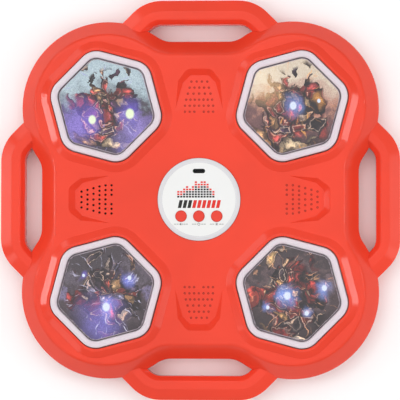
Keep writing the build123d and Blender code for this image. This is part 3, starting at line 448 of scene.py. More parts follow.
def printed_skin(name, centre, seed, plates, ground, burst, body, lights, sparks, spark_colour):
    """A printed, finely grained skin: clouded ground, flying plates, sparks and soft lights."""
    finish, tree, shader, world_place = new_finish(name)
    unit = 1 / print_reach
    shift = (-centre.x * unit, -centre.y * unit, seed * 7.3)
    place = moved(tree, world_place, Scale=(unit, unit, unit), Location=shift)
    flat = vectors(tree, "MULTIPLY", place, (1, 1, 0))
    # a warped copy of the coordinates keeps the edges from looking ruled
    warp = add(tree, "ShaderNodeTexNoise", Vector=place, Scale=2.4, Detail=4.0).outputs["Color"]
    centred = vectors(tree, "SUBTRACT", warp, (0.5, 0.5, 0.5))
    warped = vectors(tree, "ADD", flat, vectors(tree, "MULTIPLY", centred, (0.5, 0.5, 0)))
    # clouded ground, lighter towards the top
    height = add(tree, "ShaderNodeSeparateXYZ", Vector=warped).outputs["Y"]
    clouds = noise(tree, place, 1.6, 6.0, Roughness=0.62)
    haze = sums(tree, "MULTIPLY_ADD", sums(tree, "SUBTRACT", clouds, 0.5), 2.3, height)
    backdrop = steps(tree, spread(tree, haze, -1.1, 1.1), ground)
    # broken plates that fly out from the burst's centre
    polar, radius = burst_coordinates(tree, warped, *burst)
    cell = {"Vector": polar, "Scale": 1.0, "Randomness": 1.0}
    big = add(tree, "ShaderNodeTexVoronoi", {"distance": "MANHATTAN"}, **cell)
    big_edge = add(tree, "ShaderNodeTexVoronoi", {"feature": "DISTANCE_TO_EDGE"}, **cell).outputs["Distance"]
    chance = add(tree, "ShaderNodeSeparateColor", Color=big.outputs["Color"])
    plate = steps(tree, chance.outputs[0], plates, hard=True)
    sheen = spread(tree, big.outputs["Distance"], 0.0, 0.7, 1.75, 0.30)
    plate = blend_colours(tree, 1.0, plate, sheen, "MULTIPLY")
    plate = blend_colours(tree, spread(tree, big_edge, 0.02, 0.09), colour(44, 30, 36), plate)
    # a lit line runs just inside each plate's edge
    lit_edge = sums(tree, "MULTIPLY", spread(tree, big_edge, 0.07, 0.11), spread(tree, big_edge, 0.17, 0.12))
    lit_edge = sums(tree, "MULTIPLY", lit_edge, spread(tree, chance.outputs[1], 0.35, 0.8))
    plate = blend_colours(tree, sums(tree, "MULTIPLY", lit_edge, 0.6), plate, colour(236, 208, 190))
    # smaller chips break up the plates
    square = {"distance": "CHEBYCHEV"}
    chips = add(tree, "ShaderNodeTexVoronoi", square, Vector=warped, Scale=13.0, Randomness=1.0)
    chip_chance = add(tree, "ShaderNodeSeparateColor", Color=chips.outputs["Color"]).outputs[1]
    chip_tones = [(0.0, (0.25, 0.24, 0.27, 1)), (0.35, (0.8, 0.8, 0.8, 1)), (0.75, (1.5, 1.3, 1.1, 1))]
    plate = blend_colours(tree, 0.85, plate, steps(tree, chip_chance, chip_tones, hard=True), "MULTIPLY")
    # the plates cover an uneven patch round the body of the print
    body_x, body_y, body_size, body_stretch = body
    reach = spot_distance(tree, warped, body_x, body_y, body_stretch)
    ragged = sums(tree, "MULTIPLY_ADD", chance.outputs[2], 0.55, reach)
    cover = spread(tree, ragged, body_size + 0.40, body_size + 0.30)
    picture = blend_colours(tree, cover, backdrop, plate)
    # sparks streak out from the burst's centre
    thin = moved(tree, polar, Scale=(6.5, 0.55, 1.0), Location=(seed, 0, 0))
    streak = spread(tree, noise(tree, thin, 1.0, 3.0), 0.60, 0.74)
    streak = sums(tree, "MULTIPLY", streak, spread(tree, radius, 0.15, 0.6))
    picture = blend_colours(tree, sums(tree, "MULTIPLY", streak, sparks), picture, spark_colour)
    # lights: a wide halo, then a small bright core
    for x, y, size, strength, halo, core in lights:
        away = spot_distance(tree, warped, x, y, 1.15)
        glow = sums(tree, "MULTIPLY", spread(tree, away, size * 2.4, 0.0), strength)
        picture = blend_colours(tree, glow, picture, halo, "SCREEN")
        if core is None:
            continue
        near = spot_distance(tree, flat, x, y, 1.2)
        picture = blend_colours(tree, spread(tree, near, size * 0.72, size * 0.42), picture, core)
    # ink grain and the slight greying of a matt film
    grain = noise(tree, place, 58.0, 3.0)
    grain_tones = steps(tree, grain, [(0.3, (0.30, 0.30, 0.32, 1)), (0.7, (0.72, 0.71, 0.70, 1))])
    picture = blend_colours(tree, 0.8, picture, grain_tones, "OVERLAY")
    picture = blend_colours(tree, 0.07, picture, colour(176, 168, 176))
    # where the film faces sideways over the pad's edge it is painted pale: this drops the dark print there and
    # also paints light over the shade line in the gap by the rim
    facing = add(tree, "ShaderNodeSeparateXYZ", Vector=add(tree, "ShaderNodeNewGeometry").outputs["Normal"])
    level = spread(tree, facing.outputs["Z"], 0.55, 0.9)
    picture = blend_colours(tree, level, colour(214, 204, 212), picture)
    # a fine pebbled film
    pebbles = add(tree, "ShaderNodeTexVoronoi", Vector=world_place, Scale=1500.0).outputs["Distance"]
    connect(tree, shader, Base_Color=picture, Normal=relief(tree, pebbles, 0.00004), Sheen_Weight=0.08)
    connect(tree, shader, Roughness=sums(tree, "MULTIPLY_ADD", grain, 0.12, 0.48))
    return finish


print("print function ready")

# %% The four pads' own colours
pad_centres = {}
for corner in corner_names:
    low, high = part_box(f"pad_face_{corner}")
    pad_centres[corner] = (low + high) / 2

violet = colour(112, 92, 214)
blue_white = colour(222, 232, 255)
pale_green = colour(236, 250, 206)
cold_blue = colour(130, 160, 240)
deep_blue = colour(130, 140, 240)
armour_reds = shades(
    (0.0, 60, 48, 52), (0.18, 162, 66, 70), (0.36, 212, 90, 88), (0.54, 112, 76, 116),
    (0.66, 224, 172, 124), (0.78, 184, 74, 72), (0.9, 238, 208, 168),
)
# burst: x, y, sectors, rings; body: x, y, size, stretch; a light: x, y, size, strength, halo, core
prints = {
    "top_left": dict(
        seed=1.0, plates=armour_reds, burst=(0.02, 0.25, 2.1, 5.2), body=(0.03, -0.1, 0.52, 1.35),
        ground=shades((0.0, 62, 52, 62), (0.3, 112, 96, 152), (0.48, 74, 68, 80), (0.66, 140, 156, 164),
                      (0.86, 176, 196, 204)),
        lights=[
            (-0.28, -0.28, 0.13, 0.65, violet, pale_green), (0.50, -0.16, 0.15, 0.75, violet, pale_green),
            (0.62, -0.72, 0.26, 0.75, colour(150, 134, 226), None), (-0.6, -0.3, 0.24, 0.6, violet, None),
        ],
        sparks=0.45, spark_colour=colour(190, 184, 240),
    ),
    "top_right": dict(
        seed=2.0, plates=armour_reds, burst=(-0.05, 0.3, 2.0, 4.8), body=(0.0, -0.12, 0.62, 1.2),
        ground=shades((0.0, 58, 44, 46), (0.3, 112, 78, 78), (0.5, 184, 132, 112), (0.68, 200, 170, 152),
                      (0.84, 218, 202, 180)),
        lights=[
            (0.02, 0.0, 0.12, 0.8, colour(120, 150, 220), blue_white),
            (0.55, 0.1, 0.06, 0.6, colour(250, 170, 80), blue_white),
            (-0.6, 0.5, 0.26, 0.6, colour(250, 200, 140), None),
        ],
        sparks=0.7, spark_colour=colour(248, 176, 92),
    ),
    "bottom_left": dict(
        seed=3.0, burst=(0.1, 0.05, 2.2, 5.0), body=(0.05, 0.05, 0.6, 1.1),
        ground=shades((0.0, 52, 44, 48), (0.35, 72, 60, 66), (0.5, 118, 108, 140), (0.62, 66, 56, 62),
                      (0.75, 92, 82, 94), (0.9, 64, 56, 62)),
        plates=shades((0.0, 54, 44, 48), (0.2, 108, 92, 122), (0.38, 158, 60, 62), (0.55, 200, 194, 232),
                      (0.68, 72, 60, 70), (0.78, 220, 92, 76), (0.9, 232, 186, 136)),
        lights=[
            (0.02, -0.30, 0.13, 0.95, deep_blue, blue_white), (0.5, 0.3, 0.07, 0.8, deep_blue, blue_white),
            (-0.45, 0.35, 0.05, 0.7, violet, blue_white), (-0.1, -0.62, 0.3, 0.6, colour(130, 120, 226), None),
        ],
        sparks=1.0, spark_colour=colour(226, 222, 250),
    ),
    "bottom_right": dict(
        seed=4.0, burst=(0.0, 0.1, 2.1, 5.0), body=(0.0, 0.0, 0.66, 1.1),
        ground=shades((0.0, 52, 42, 44), (0.35, 70, 56, 58), (0.52, 112, 92, 96), (0.64, 62, 50, 54),
                      (0.78, 92, 74, 76), (0.9, 62, 52, 54)),
        plates=shades((0.0, 58, 46, 48), (0.2, 164, 60, 58), (0.4, 222, 88, 76), (0.58, 84, 68, 74),
                      (0.70, 232, 186, 130), (0.84, 180, 74, 70), (0.93, 240, 222, 204)),
        lights=[
            (-0.1, -0.06, 0.12, 0.95, cold_blue, blue_white), (0.3, -0.42, 0.07, 0.8, cold_blue, blue_white),
            (-0.5, -0.3, 0.06, 0.75, cold_blue, blue_white),
            (0.66, 0.1, 0.09, 0.8, colour(140, 166, 240), blue_white),
        ],
        sparks=0.8, spark_colour=colour(244, 176, 132),
    ),
}
for corner, look in prints.items():
    finishes[f"print_{corner}"] = printed_skin(f"print_{corner}", pad_centres[corner], **look)
print("prints:", ", ".join(prints))

# %% [markdown]
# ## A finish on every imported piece
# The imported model's record names a finish for each piece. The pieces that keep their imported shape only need
# that finish put on their object, with their mesh left as it is.

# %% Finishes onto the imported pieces
finish_of_node = {row["node"]: row["material_slot"] for row in frame["record"]["subparts"]}
for node_name, packed in nodes.items():
    slot_name = finish_of_node[node_name]
    worn_finish = finishes.get(slot_name, finishes["foam_grey"])
    packed.data.materials.clear()
    packed.data.materials.append(worn_finish)
# painted shade: the socket is given black instead of its recorded finish, since it is seen only deep in its
# window
nodes["charging_socket"].data.materials[0] = finishes["switch_black"]     # seen only in its window's shade
print("finishes put on", len(finish_of_node), "packed pieces")

# %% [markdown]
# ## The shells that show
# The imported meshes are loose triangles, so light breaks at each one. A gloss shell has to catch light in one
# smooth run across its rounds, so a copy is welded, its smooth edges are shaded through and its real edges
# stay sharp. Normals weighted by area then keep the broad faces truly flat.

# %% Weld, shade and weight
weld_distance = 0.00001
body_of_node = {n: body for body, members in frame["record"]["behaviour"]["bodies"].items() for n in members}


def new_piece(name, mesh, finish_name):
    """Puts a mesh in the scene as a piece, with one of the finishes."""
    piece = set_in_scene(name, mesh)
    if finish_name:
        mesh.materials.clear()
        mesh.materials.append(finishes[finish_name])
    return piece


def as_mesh(form, name):
    """Turns a form into a mesh and lets the form go."""
    mesh = bpy.data.meshes.new(name)
    form.to_mesh(mesh)
    form.free()
    return mesh


def stand_in(piece, node_name):
    """Makes a piece ride on a packed one's body in its place, and hides the packed one."""
    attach(piece, body_of_node[node_name])
    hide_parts(node_name)


def smooth_shell(name, node_name, sharp_angle=20.0):
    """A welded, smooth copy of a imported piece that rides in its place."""
    form = bmesh.new()
    form.from_mesh(nodes[node_name].data)
    bmesh.ops.remove_doubles(form, verts=form.verts, dist=weld_distance)
    mesh = as_mesh(form, name)
    old_normals = mesh.attributes.get("custom_normal")
    if old_normals:
        mesh.attributes.remove(old_normals)
    mesh.shade_smooth()
    mesh.set_sharp_from_angle(angle=math.radians(sharp_angle))
    piece = new_piece(name, mesh, finish_of_node[node_name])
    weighting = piece.modifiers.new("flat_faces_stay_flat", "WEIGHTED_NORMAL")
    weighting.keep_sharp = True
    weighting.weight = 60
    stand_in(piece, node_name)
    return piece


shells = {
    "front_shell": "front_casing",
    "back_shell": "back_casing",
    "disc_shell": "control_disc",
    "overlay_film": "panel_overlay",
}
shells |= {f"key_cap_{side}": f"button_{side}" for side in ("left", "middle", "right")}
shells |= {f"lit_rim_{corner}": f"pad_rim_{corner}" for corner in corner_names}
for shell_name, node_name in shells.items():
    made = smooth_shell(shell_name, node_name)
    print(shell_name, len(made.data.polygons), "faces")

# %% [markdown]
# ## Stuffed strike pads
# A strike pad is a slab of foam wrapped in printed film, pressed into its tray. The foam pushes the film up
# into a low crown and fills the corners unevenly. A cloth simulation with a little pressure gives that crown:
# the slab is blown up slightly, each point may move only as far as the tray lets it, and one subdivision
# smooths the result. All four pads are one shape, so it is blown up once and then turned into each tray.

# %% The flat slab before it is filled
foam_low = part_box("pad_foam_top_left")[0]
skin_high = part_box("pad_face_top_left")[1]
slab_depth = skin_high.z - foam_low.z
slab_shrink = 0.0005        # the slab starts smaller than its tray and swells into it
crown_sink = 0.0015         # its flat top starts this far below the skin's top
hexagon_turn = math.radians(15)
tray_across = 0.0892        # inside the rim, across the flats
corner_radius = 0.0126
corner_steps = 7


def hexagon_outline(across, radius, turn, count):
    """Points round a hexagon with rounded corners, centred on the origin."""
    points = []
    corner_reach = (across / 2 - radius) / math.cos(math.radians(30))
    for corner in range(6):
        middle = turn + math.radians(60 * corner)
        centre = Vector((corner_reach * math.cos(middle), corner_reach * math.sin(middle)))
        for step in range(count):
            angle = middle + math.radians(60 * (step / (count - 1) - 0.5))
            points.append(centre + radius * Vector((math.cos(angle), math.sin(angle))))
    return points


def raise_outline(form, outline, foot, depth):
    """Adds a flat slab to a form: an outline at a height, raised by a depth."""
    face = form.faces.new([form.verts.new((x, y, foot)) for x, y in outline])
    raised = bmesh.ops.extrude_face_region(form, geom=[face])
    lifted = [v for v in raised["geom"] if isinstance(v, bmesh.types.BMVert)]
    bmesh.ops.translate(form, verts=lifted, vec=(0, 0, depth))


slab = bmesh.new()
outline = hexagon_outline(tray_across - 2 * slab_shrink, corner_radius, 0.0, corner_steps)
raise_outline(slab, outline, 0, slab_depth - crown_sink)
bmesh.ops.recalc_face_normals(slab, faces=slab.faces)
pad_master = new_piece("pad_master", as_mesh(slab, "pad_slab"), None)
print("slab", round(slab_depth * 1000, 2), "mm deep")

# %% Remesh, fill and cap the swell
voxel = 0.0016
swell_up = 0.0017
swell_out = 0.0004
fill_frames = 20


def evaluated_mesh(holder):
    """The plain mesh of an object after its modifiers."""
    return bpy.data.meshes.new_from_object(holder.evaluated_get(bpy.context.evaluated_depsgraph_get()))


remesh = pad_master.modifiers.new("even_faces", "REMESH")
remesh.mode = "VOXEL"
remesh.voxel_size = voxel
even = evaluated_mesh(pad_master)
pad_master.modifiers.clear()
pad_master.data = even
start = [v.co.copy() for v in even.vertices]
cloth = pad_master.modifiers.new("fill", "CLOTH")
cloth.settings.use_pressure = True
cloth.settings.uniform_pressure_force = 4.0
cloth.settings.tension_stiffness = 25.0
cloth.settings.compression_stiffness = 25.0
cloth.settings.bending_stiffness = 2.0
cloth.settings.effector_weights.gravity = 0.0
cloth.point_cache.frame_end = fill_frames
for frame_number in range(1, fill_frames + 1):
    scene.frame_set(frame_number)
filled = evaluated_mesh(pad_master)
pad_master.modifiers.remove(cloth)
scene.frame_set(1)
for vertex, old, new in zip(pad_master.data.vertices, start, filled.vertices):
    push = new.co - old
    side = Vector((push.x, push.y))
    if side.length > swell_out:
        side *= swell_out / side.length
    rise = min(max(push.z, 0.0), swell_up) * min(1.0, old.z / slab_depth)
    vertex.co = (old.x + side.x, old.y + side.y, max(0.0, old.z) + rise)
print("pad", len(pad_master.data.vertices), "points, top",
      round(max(v.co.z for v in pad_master.data.vertices) * 1000, 2), "mm above the tray floor")

# %% A low crown, and one pad turned into each tray
crown_rise = 0.0007


def strike_pad(corner):
    """A copy of the filled pad in its own tray, crowned and subdivided."""
    side = -1 if corner in ("top_left", "bottom_right") else 1
    mesh = pad_master.data.copy()
    mesh.name = f"strike_pad_{corner}"
    centre = pad_centres[corner]
    swing = Matrix.Rotation(side * hexagon_turn, 3, "Z")
    for vertex in mesh.vertices:
        reach = min(1.0, vertex.co.xy.length / (tray_across / 2))
        dome = crown_rise * (1 - reach**2) * vertex.co.z / slab_depth
        vertex.co = swing @ vertex.co + Vector((centre.x, centre.y, foam_low.z + dome))
    mesh.shade_smooth()
    piece = new_piece(f"strike_pad_{corner}", mesh, f"print_{corner}")
    round_off = piece.modifiers.new("smooth", "SUBSURF")
    round_off.levels = 1
    round_off.render_levels = 1
    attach(piece, f"pad_{corner}")
    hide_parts(f"pad_foam_{corner}", f"pad_face_{corner}")
    return piece


for corner in corner_names:
    made = strike_pad(corner)
    print(made.name, len(made.data.vertices), "points")
bpy.data.objects.remove(pad_master)

# %% [markdown]
# ## Signs on the control disc
# The disc's film carries a printed sign. Here it is a plain sound-level picture: columns of small cells that
# rise and fall, red at their tips, over a row of slanted meter cells, with a simple pictogram under each key.
# Ink has a thickness of its own, so the signs are thin pieces that lie on the film. The columns repeat by a
# rule, so Geometry Nodes make them: a grid of points, thinned to each column's height, with a cell on each.

# %% Inks
ink_depth = 0.00008
film_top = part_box("panel_overlay")[1].z
finishes["ink_black"] = plastic("ink_black", (0.022, 0.020, 0.019, 1), 0.45, grain=0.00001)
finishes["ink_red"] = plastic("ink_red", (0.72, 0.028, 0.020, 1), 0.4, grain=0.00001)
finishes["ink_grey"] = plastic("ink_grey", (0.10, 0.095, 0.095, 1), 0.5, grain=0.00001)
print("film top at", round(film_top * 1000, 2), "mm")

# %% A tree with named inputs


def new_tree(name, inputs):
    """An empty Geometry Nodes tree, the outputs of its named inputs, and its end."""
    tree = bpy.data.node_groups.new(name, "GeometryNodeTree")
    for label, kind in {"Geometry": "Geometry", **inputs}.items():
        tree.interface.new_socket(label, in_out="INPUT", socket_type=f"NodeSocket{kind}")
    tree.interface.new_socket("Geometry", in_out="OUTPUT", socket_type="NodeSocketGeometry")
    return tree, tree.nodes.new("NodeGroupInput").outputs, tree.nodes.new("NodeGroupOutput").inputs["Geometry"]


def grown(name, tree, mesh, values):
    """Runs a tree on a mesh with its inputs set, and returns the plain mesh that it makes."""
    holder = set_in_scene(name, mesh)
    modifier = holder.modifiers.new("grow", "NODES")
    modifier.node_group = tree
    sockets = {s.name: s.identifier for s in tree.interface.items_tree if s.in_out == "INPUT"}
    for label, value in values.items():
        modifier[sockets[label]] = value
    shape = evaluated_mesh(holder)
    bpy.data.objects.remove(holder)
    shape.name = name
    return shape


print("tree helpers ready")

# %% The tree for the level columns
level_tree, given, end = new_tree("level_columns", {
    "Columns": "Int", "Rows": "Int", "Column Pitch": "Float", "Row Pitch": "Float", "Cell Width": "Float",
    "Cell Height": "Float", "Depth": "Float", "Seed": "Int", "Low Ink": "Material", "High Ink": "Material",
})
level = functools.partial(add, level_tree)
level_sum = functools.partial(sums, level_tree)
hump_fall = 2.6             # how steeply the hump drops to the sign's sides
steady_share = 0.45         # of a column's height, the part that chance leaves alone
shaken_share = 0.55
tip_share = 0.22            # of the sign's height, the part of a column that is its tip

width = level_sum("MULTIPLY", level_sum("SUBTRACT", given["Columns"], 1.0), given["Column Pitch"])
tall = level_sum("MULTIPLY", level_sum("SUBTRACT", given["Rows"], 1.0), given["Row Pitch"])
counts = {"Vertices_X": given["Columns"], "Vertices_Y": given["Rows"]}
grid = level("GeometryNodeMeshGrid", Size_X=width, Size_Y=tall, **counts)
where = level("ShaderNodeSeparateXYZ", Vector=level("GeometryNodeInputPosition").outputs[0])
column = level_sum("ROUND", level_sum("DIVIDE", where.outputs["X"], given["Column Pitch"]))
chance = level("FunctionNodeRandomValue", {"data_type": "FLOAT"}, ID=column, Seed=given["Seed"]).outputs[1]
# a column's height is a hump across the sign, shaken by chance
across = level_sum("DIVIDE", where.outputs["X"], width)
fall = level_sum("MULTIPLY", level_sum("MULTIPLY", across, across), hump_fall)
shaken = level_sum("MULTIPLY_ADD", chance, shaken_share, steady_share)
height = level_sum("MULTIPLY", level_sum("SUBTRACT", 1.0, fall), shaken)
share = level_sum("ADD", level_sum("DIVIDE", where.outputs["Y"], tall), 0.5)
greater = {"operation": "GREATER_THAN"}
too_high = level("FunctionNodeCompare", greater, A=share, B=height).outputs[0]
is_tip = level("FunctionNodeCompare", greater, A=level_sum("ADD", share, tip_share), B=height).outputs[0]
thinned = level("GeometryNodeDeleteGeometry", Geometry=grid.outputs["Mesh"], Selection=too_high).outputs[0]
kept_on_points = {"data_type": "BOOLEAN", "domain": "POINT"}
marked = level("GeometryNodeStoreNamedAttribute", kept_on_points, Geometry=thinned, Name="tip", Value=is_tip)
sides = {"X": given["Cell Width"], "Y": given["Cell Height"], "Z": given["Depth"]}
cell = level("GeometryNodeMeshCube", Size=level("ShaderNodeCombineXYZ", **sides).outputs[0]).outputs["Mesh"]
placed = level("GeometryNodeInstanceOnPoints", Points=marked.outputs[0], Instance=cell)
real = level("GeometryNodeRealizeInstances", Geometry=placed.outputs[0])
inked = level("GeometryNodeSetMaterial", Geometry=real.outputs[0], Material=given["Low Ink"])
tips = level("GeometryNodeInputNamedAttribute", {"data_type": "BOOLEAN"}, Name="tip").outputs["Attribute"]
tipped = level("GeometryNodeSetMaterial", Geometry=inked.outputs[0], Material=given["High Ink"], Selection=tips)
level_tree.links.new(tipped.outputs[0], end)
print("level tree:", len(level_tree.nodes), "nodes")

# %% The level columns on the film
sign_centre = Vector((-0.0030, 0.0122, film_top + ink_depth / 2))
level_columns = 13
level_rows = 9
column_pitch = 0.0029
row_pitch = 0.0024
empty_mesh = bpy.data.meshes.new("seed_mesh")
levels = grown("level_sign", level_tree, empty_mesh, {
    "Columns": level_columns, "Rows": level_rows, "Column Pitch": column_pitch, "Row Pitch": row_pitch,
    "Cell Width": 0.0022, "Cell Height": 0.0017, "Depth": ink_depth, "Seed": 11,
    "Low Ink": finishes["ink_black"], "High Ink": finishes["ink_red"],
})
levels.transform(Matrix.Translation(sign_centre))
level_sign = new_piece("level_sign", levels, None)
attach(level_sign, "housing")
print("level sign:", len(levels.polygons), "faces, inks", [m.name for m in levels.materials if m])

# %% Slabs of ink from outlines


def ink_piece(name, outlines, ink):
    """A thin piece of ink: each outline, in metres on the disc, becomes a flat slab on the film."""
    form = bmesh.new()
    for outline in outlines:
        raise_outline(form, outline, film_top, ink_depth)
    bmesh.ops.recalc_face_normals(form, faces=form.faces)
    piece = new_piece(name, as_mesh(form, name), ink)
    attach(piece, "housing")
    return piece


def ring_outlines(x, y, outer, inner, first, last, count):
    """Short four-cornered pieces that make an arc or a ring."""
    made = []
    for step in range(count):
        a, b = (math.radians(first + (last - first) * k / count) for k in (step, step + 1))
        corners = ((outer, a), (outer, b), (inner, b), (inner, a))
        made.append([(x + reach * math.cos(angle), y + reach * math.sin(angle)) for reach, angle in corners])
    return made


def box_outline(x, y, wide, tall, lean=0.0):
    """A rectangle that leans to the right by a slope."""
    shift = lean * tall / 2
    return [
        (x - wide / 2 - shift, y - tall / 2), (x + wide / 2 - shift, y - tall / 2),
        (x + wide / 2 + shift, y + tall / 2), (x - wide / 2 + shift, y + tall / 2),
    ]


print("ink helpers ready")

# %% The meter row under the columns
meter_cells = 9
meter_black = 3
meter_span = 0.0425
meter_middle = -0.0047
meter_height = 0.0078
meter_shift = 0.0005        # to the right of the disc's middle
cell_fill = 0.70            # of each cell's step
cell_lean = 0.22
cell_step = meter_span / meter_cells
cells = []
for k in range(meter_cells):
    cell_x = meter_shift + (k - (meter_cells - 1) / 2) * cell_step
    cells.append(box_outline(cell_x, meter_middle, cell_step * cell_fill, meter_height, cell_lean))
ink_piece("meter_row_black", cells[:meter_black], "ink_black")
ink_piece("meter_row_red", cells[meter_black:], "ink_red")
print("meter row:", meter_cells, "cells")

# %% Pictograms under the keys: sound, power and pad lights
sign_y = -0.0246
dash_length = 0.0020
dash_height = 0.00048
dash_places = (-0.0034, -0.0058, 0.0034, 0.0058)        # to each side of a key's middle
for side in ("left", "middle", "right"):
    low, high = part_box(f"button_{side}")
    key_x = (low.x + high.x) / 2
    shapes = [box_outline(key_x + reach, sign_y, dash_length, dash_height) for reach in dash_places]
    if side == "left":
        shapes += [box_outline(key_x - 0.0011, sign_y, 0.0007, 0.0011)]
        shapes += [[(key_x - 0.0007, sign_y - 0.0006), (key_x + 0.0002, sign_y - 0.0013),
                    (key_x + 0.0002, sign_y + 0.0013), (key_x - 0.0007, sign_y + 0.0006)]]
        shapes += ring_outlines(key_x + 0.0002, sign_y, 0.0013, 0.0009, -45, 45, 6)
    elif side == "middle":
        shapes += ring_outlines(key_x, sign_y, 0.0014, 0.0010, 125, 415, 20)
        shapes += [box_outline(key_x, sign_y + 0.0009, 0.0004, 0.0014)]
    else:
        shapes += ring_outlines(key_x, sign_y, 0.0007, 0.0, 0, 360, 12)
        for ray in range(8):
            shapes += ring_outlines(key_x, sign_y, 0.0015, 0.0010, ray * 45 - 9, ray * 45 + 9, 1)
    ink_piece(f"key_sign_{side}", shapes, "ink_grey")
print("pictograms ready")

# %% [markdown]
# ## Copies on points
# Screws, feet and springs each come many times over. A real maker buys one and fits it at every mount, so one
# part is modelled here and a Geometry Nodes tree sets a copy on every point. Each copy is turned by chance, as
# a driver or a hand leaves it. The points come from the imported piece, so a copy always sits on its own mount.

# %% The tree for copies
copies_tree, given, end = new_tree("copies_on_points", {
    "Piece": "Object", "Finish": "Material", "Turn Seed": "Int",
})
copies = functools.partial(add, copies_tree)
chance = copies("FunctionNodeRandomValue", {"data_type": "FLOAT"}, Seed=given["Turn Seed"]).outputs[1]
turn_about = copies("ShaderNodeCombineXYZ", Z=sums(copies_tree, "MULTIPLY", chance, math.tau))
set_down = copies(
    "GeometryNodeInstanceOnPoints",
    Points=copies("GeometryNodeMeshToPoints", Mesh=given["Geometry"]).outputs[0],
    Instance=copies("GeometryNodeObjectInfo", Object=given["Piece"]).outputs["Geometry"],
    Rotation=copies("FunctionNodeEulerToRotation", Euler=turn_about.outputs[0]).outputs[0],
)
all_real = copies("GeometryNodeRealizeInstances", Geometry=set_down.outputs[0])
finished = copies("GeometryNodeSetMaterial", Geometry=all_real.outputs[0], Material=given["Finish"])
copies_tree.links.new(finished.outputs[0], end)
print("copies tree:", len(copies_tree.nodes), "nodes")

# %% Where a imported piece's copies stand


def copy_places(node_name, apart):
    """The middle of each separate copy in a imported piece, in plan."""
    groups = []
    for vertex in nodes[node_name].data.vertices:
        x, y = vertex.co.x, vertex.co.y
        for group in groups:
            if abs(group[0][0] - x) < apart and abs(group[0][1] - y) < apart:
                group.append((x, y))
                break
        else:
            groups.append([(x, y)])
    places = []
    for group in groups:
        across, along = ([point[axis] for point in group] for axis in (0, 1))
        places.append(Vector(((min(across) + max(across)) / 2, (min(along) + max(along)) / 2, 0)))
    return places


def turned(name, profile, sides=40):
    """A solid of turning: a profile of (radius, height) points carried round the vertical axis."""
    form = bmesh.new()
    rings = []
    for radius, height in profile:
        if radius < 1e-7:
            rings.append([form.verts.new((0, 0, height))])
            continue
        angles = [math.tau * k / sides for k in range(sides)]
        rings.append([form.verts.new((radius * math.cos(a), radius * math.sin(a), height)) for a in angles])
    for lower, upper in zip(rings, rings[1:]):
        for k in range(sides):
            n = (k + 1) % sides
            corners = [ring[m % len(ring)] for ring, m in ((lower, k), (lower, n), (upper, n), (upper, k))]
            form.faces.new(list(dict.fromkeys(corners)))
    bmesh.ops.recalc_face_normals(form, faces=form.faces)
    return as_mesh(form, name)


def set_copies(name, node_name, part_mesh, finish_name, apart, seed):
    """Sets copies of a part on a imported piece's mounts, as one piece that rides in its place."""
    places = copy_places(node_name, apart)
    model = set_in_scene(f"{name}_model", part_mesh)
    points = bpy.data.meshes.new(f"{name}_points")
    points.from_pydata([tuple(p) for p in places], [], [])
    mesh = grown(name, copies_tree, points, {"Piece": model, "Finish": finishes[finish_name], "Turn Seed": seed})
    bpy.data.objects.remove(model)
    mesh.shade_smooth()
    mesh.set_sharp_from_angle(angle=math.radians(35))
    piece = new_piece(name, mesh, finish_name)
    stand_in(piece, node_name)
    print(name, "stands at", len(places), "places")
    return piece


print("copy helpers ready")

# %% [markdown]
# ## Casing screws
# Twelve pan-head screws hold the shells together from below. A screw like this is cold-headed from wire and
# its thread is rolled. The head is a turned round, the cross recess is cut with a tapering punch, and the
# thread is a stack of rings, since its slope cannot be seen inside a boss.

# %% One casing screw
low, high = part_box("casing_screws")
head_top = 0.0020
shank_length = high.z - low.z - head_top
thread_pitch = 0.0011
thread_outer = 0.0015
thread_inner = 0.0012
screw_profile = [
    (0, 0), (0.0017, 0), (0.0023, 0.00012), (0.0026, 0.00045), (0.0028, 0.0010), (0.0028, 0.0019),
    (0.0027, head_top), (thread_inner, head_top),
]
turns_of_thread = int((shank_length - 0.002) / thread_pitch)
for ring in range(turns_of_thread):
    base = head_top + 0.0008 + ring * thread_pitch
    screw_profile += [(thread_inner, base), (thread_outer, base + 0.00035), (thread_inner, base + 0.0007)]
screw_profile += [(thread_inner, head_top + shank_length - 0.0007), (0, head_top + shank_length)]
screw_mesh = turned("casing_screw", screw_profile)
print("one screw:", len(screw_mesh.polygons), "faces,", turns_of_thread, "thread rings")

# %% Its cross recess
punch_taper = 0.55          # its tip's width as a share of its mouth's
punch = bmesh.new()
for long_x, long_y in ((0.0032, 0.0007), (0.0007, 0.0032)):
    made = bmesh.ops.create_cube(punch, size=1.0)
    bmesh.ops.scale(punch, verts=made["verts"], vec=(long_x, long_y, 0.0024))
for vertex in punch.verts:
    if vertex.co.z > 0:
        vertex.co.xy *= punch_taper
punch_object = set_in_scene("screw_punch", as_mesh(punch, "screw_punch"))
blank = set_in_scene("screw_blank", screw_mesh)
cut = blank.modifiers.new("recess", "BOOLEAN")
cut.operation = "DIFFERENCE"
cut.use_self = True
cut.object = punch_object
screw_mesh = evaluated_mesh(blank)
bpy.data.objects.remove(blank)
bpy.data.objects.remove(punch_object)
screw_mesh.transform(Matrix.Translation((0, 0, low.z)))
print("with its recess:", len(screw_mesh.polygons), "faces")

# %% Screws into the casing
set_copies("screws_casing", "casing_screws", screw_mesh, "steel", 0.006, 3)

# %% [markdown]
# ## Rubber feet
# Four moulded rubber feet keep the toy off a table and quiet on a wall. Each is a low disc with a rounded edge
# and grooves in its sole, so that it grips and does not stick by suction.

